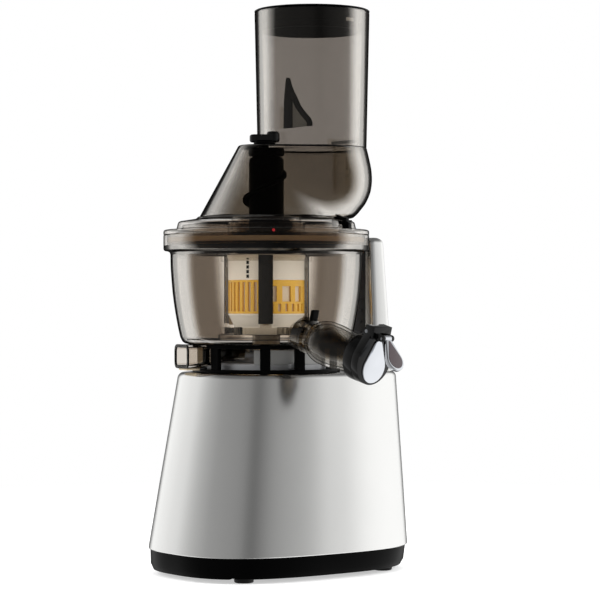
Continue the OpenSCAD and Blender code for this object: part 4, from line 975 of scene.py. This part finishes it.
# ---- Studio: camera, world, lamps and floor ----
VIEW_TURN = math.radians(37)          # the camera stands to the left of the front
TOWARDS = Vector((math.sin(VIEW_TURN), math.cos(VIEW_TURN), 0))
RIGHT = Vector((math.cos(VIEW_TURN), -math.sin(VIEW_TURN), 0))
CAMERA_REACH, CAMERA_SIDE, CAMERA_HEIGHT, LENS = 1800.0, 16.7, 215.3, 135.6
WHITE, PAPER_GREY, DOME_GREY = (1.0, 1.0, 1.0, 1.0), (0.86, 0.86, 0.86, 1.0), (0.12, 0.12, 0.12, 1.0)
MIDDLE = Vector((BASE.x * MM, BASE.y * MM, 0.22))      # metres, as are the lamps' places and sizes
FLOOR_REACH, LAMP_POWER = 12.0, 14.0                   # metres, and watts
# metres from the origin: the floor shows shadows up to the first, and is plain white past the second
SHADOW_REACH, WHITE_REACH = 0.25, 0.9
DOME_FROM, DOME_FULL = 0.35, 0.75     # upward shares of a ray's way between which the ceiling grows dim
FILL = 0.55                           # the world's light on the object
# the studio walls' brightness in a reflection, by degrees from straight behind the camera, plus to its right
WALLS = [(-180, 0.20), (-160, 0.06), (-150, 0.40), (-142, 1.0), (-121, 0.87), (-111, 0.83), (-104, 0.62),
         (-96, 0.51), (-85, 0.42), (-72, 0.36), (-58, 0.30), (-35, 0.275), (-10, 0.25), (2, 0.22), (9, 0.157),
         (18, 0.13), (26, 0.185), (38, 0.27), (50, 0.33), (64, 0.385), (70, 0.44), (75, 0.69), (80, 0.87),
         (88, 0.97), (100, 1.0), (146, 1.0), (153, 0.40), (163, 0.06), (180, 0.20)]


def make_camera():
    """The camera stands level, close to the object's mid height."""
    data = bpy.data.cameras.new("studio_camera")
    data.sensor_width = 36
    data.lens = LENS
    camera = linked("studio_camera", data)
    camera.location = (BASE - TOWARDS * CAMERA_REACH + RIGHT * CAMERA_SIDE
                       + Vector((0, 0, CAMERA_HEIGHT))) * MM
    camera.rotation_mode = "QUATERNION"
    camera.rotation_quaternion = TOWARDS.to_track_quat("-Z", "Y")
    bpy.context.scene.camera = camera


def make_world():
    """A white studio: pale walls at both sides, dim towards the camera and straight behind the object."""
    world = bpy.data.worlds.new("studio")
    bpy.context.scene.world = world
    world.cycles.sampling_method = "NONE"    # its brightness differs between kinds of ray
    world.use_nodes = True
    tree = world.node_tree
    tree.nodes.clear()
    way = add(tree, "ShaderNodeTexCoord").outputs["Generated"]
    along = add(tree, "ShaderNodeVectorMath", {0: way, 1: tuple(-TOWARDS)}, operation="DOT_PRODUCT")
    aside = add(tree, "ShaderNodeVectorMath", {0: way, 1: tuple(RIGHT)}, operation="DOT_PRODUCT")
    angle = add(tree, "ShaderNodeMath", {0: aside.outputs["Value"], 1: along.outputs["Value"]},
                operation="ARCTAN2")
    turn = add(tree, "ShaderNodeMapRange", {"Value": angle.outputs["Value"], "From Min": -math.pi,
                                            "From Max": math.pi})
    walls = ramp(tree, turn.outputs["Result"], [((d + 180) / 360, shade) for d, shade in WALLS])
    height = add(tree, "ShaderNodeSeparateXYZ", {0: way})
    overhead = add(tree, "ShaderNodeMapRange", {"Value": height.outputs["Z"], "From Min": DOME_FROM,
                                                "From Max": DOME_FULL})
    dome = add(tree, "ShaderNodeMix", {"Factor": overhead.outputs["Result"], 6: walls, 7: DOME_GREY},
               data_type="RGBA")
    ray = add(tree, "ShaderNodeLightPath").outputs
    shine = add(tree, "ShaderNodeBackground", {"Color": dome.outputs[2], "Strength": 1.0})
    fill = add(tree, "ShaderNodeBackground", {"Color": WHITE, "Strength": FILL})
    seen = add(tree, "ShaderNodeBackground", {"Color": WHITE, "Strength": 1.0})
    lit = add(tree, "ShaderNodeMixShader", {0: ray["Is Glossy Ray"], 1: fill.outputs["Background"],
                                            2: shine.outputs["Background"]})
    direct = add(tree, "ShaderNodeMath", {0: ray["Is Camera Ray"], 1: ray["Is Transmission Ray"]},
                 operation="MAXIMUM")
    both = add(tree, "ShaderNodeMixShader", {0: direct.outputs["Value"], 1: lit.outputs["Shader"],
                                             2: seen.outputs["Background"]})
    add(tree, "ShaderNodeOutputWorld", {"Surface": both.outputs["Shader"]})


def make_lamp(name, place, size):
    """A soft rectangular lamp aimed at the object, out of the camera's sight and of reflections."""
    data = bpy.data.lights.new(name, "AREA")
    data.shape = "RECTANGLE"
    data.size, data.size_y = size
    data.energy = LAMP_POWER
    lamp = linked(name, data)
    lamp.location = place
    lamp.rotation_mode = "QUATERNION"
    lamp.rotation_quaternion = (MIDDLE - place).to_track_quat("-Z", "Y")
    lamp.visible_camera = False
    lamp.visible_glossy = False


def make_floor():
    """A pale floor: it shows the object's shadow close by and is plain white farther off."""
    mesh = bpy.data.meshes.new("floor")
    mesh.from_pydata([(FLOOR_REACH * i, FLOOR_REACH * j, 0) for i, j in ((-1, -1), (1, -1), (1, 1), (-1, 1))],
                     [], [(0, 1, 2, 3)])
    floor = linked("floor", mesh)
    made, tree = new_material("pale_floor_paper")
    ray = add(tree, "ShaderNodeLightPath").outputs
    place = add(tree, "ShaderNodeTexCoord").outputs["Object"]
    away = add(tree, "ShaderNodeVectorMath", {0: place}, operation="LENGTH")
    far = add(tree, "ShaderNodeMapRange", {"Value": away.outputs["Value"], "From Min": SHADOW_REACH,
                                           "From Max": WHITE_REACH})
    paper = add(tree, "ShaderNodeBsdfDiffuse", {"Color": PAPER_GREY})
    glow = add(tree, "ShaderNodeEmission", {"Color": WHITE, "Strength": 0.5})
    white = add(tree, "ShaderNodeEmission", {"Color": WHITE, "Strength": 1.0})
    near = add(tree, "ShaderNodeAddShader", {0: paper.outputs["BSDF"], 1: glow.outputs["Emission"]})
    bright = add(tree, "ShaderNodeMixShader", {0: far.outputs["Result"], 1: near.outputs["Shader"],
                                               2: white.outputs["Emission"]})
    direct = add(tree, "ShaderNodeMath", {0: ray["Is Camera Ray"], 1: ray["Is Transmission Ray"]},
                 operation="MAXIMUM")
    both = add(tree, "ShaderNodeMixShader", {0: direct.outputs["Value"], 1: paper.outputs["BSDF"],
                                             2: bright.outputs["Shader"]})
    add(tree, "ShaderNodeOutputMaterial", {"Surface": both.outputs["Shader"]})
    mesh.materials.append(made)
    floor.visible_glossy = False         # so the walls' soft bands run down to its level in every reflection


make_camera()
make_world()
for name, aside, ahead, above, size in (("left_lamp", -1.3, -0.5, 0.5, (0.9, 1.3)),
                                        ("right_lamp", 1.2, -0.8, 0.4, (0.8, 1.2)),
                                        ("top_lamp", 0.0, 0.0, 1.5, (1.2, 1.2))):
    make_lamp(name, MIDDLE + RIGHT * aside + TOWARDS * ahead + Vector((0, 0, above)), size)
make_floor()
bpy.context.scene.view_settings.view_transform = "Standard"
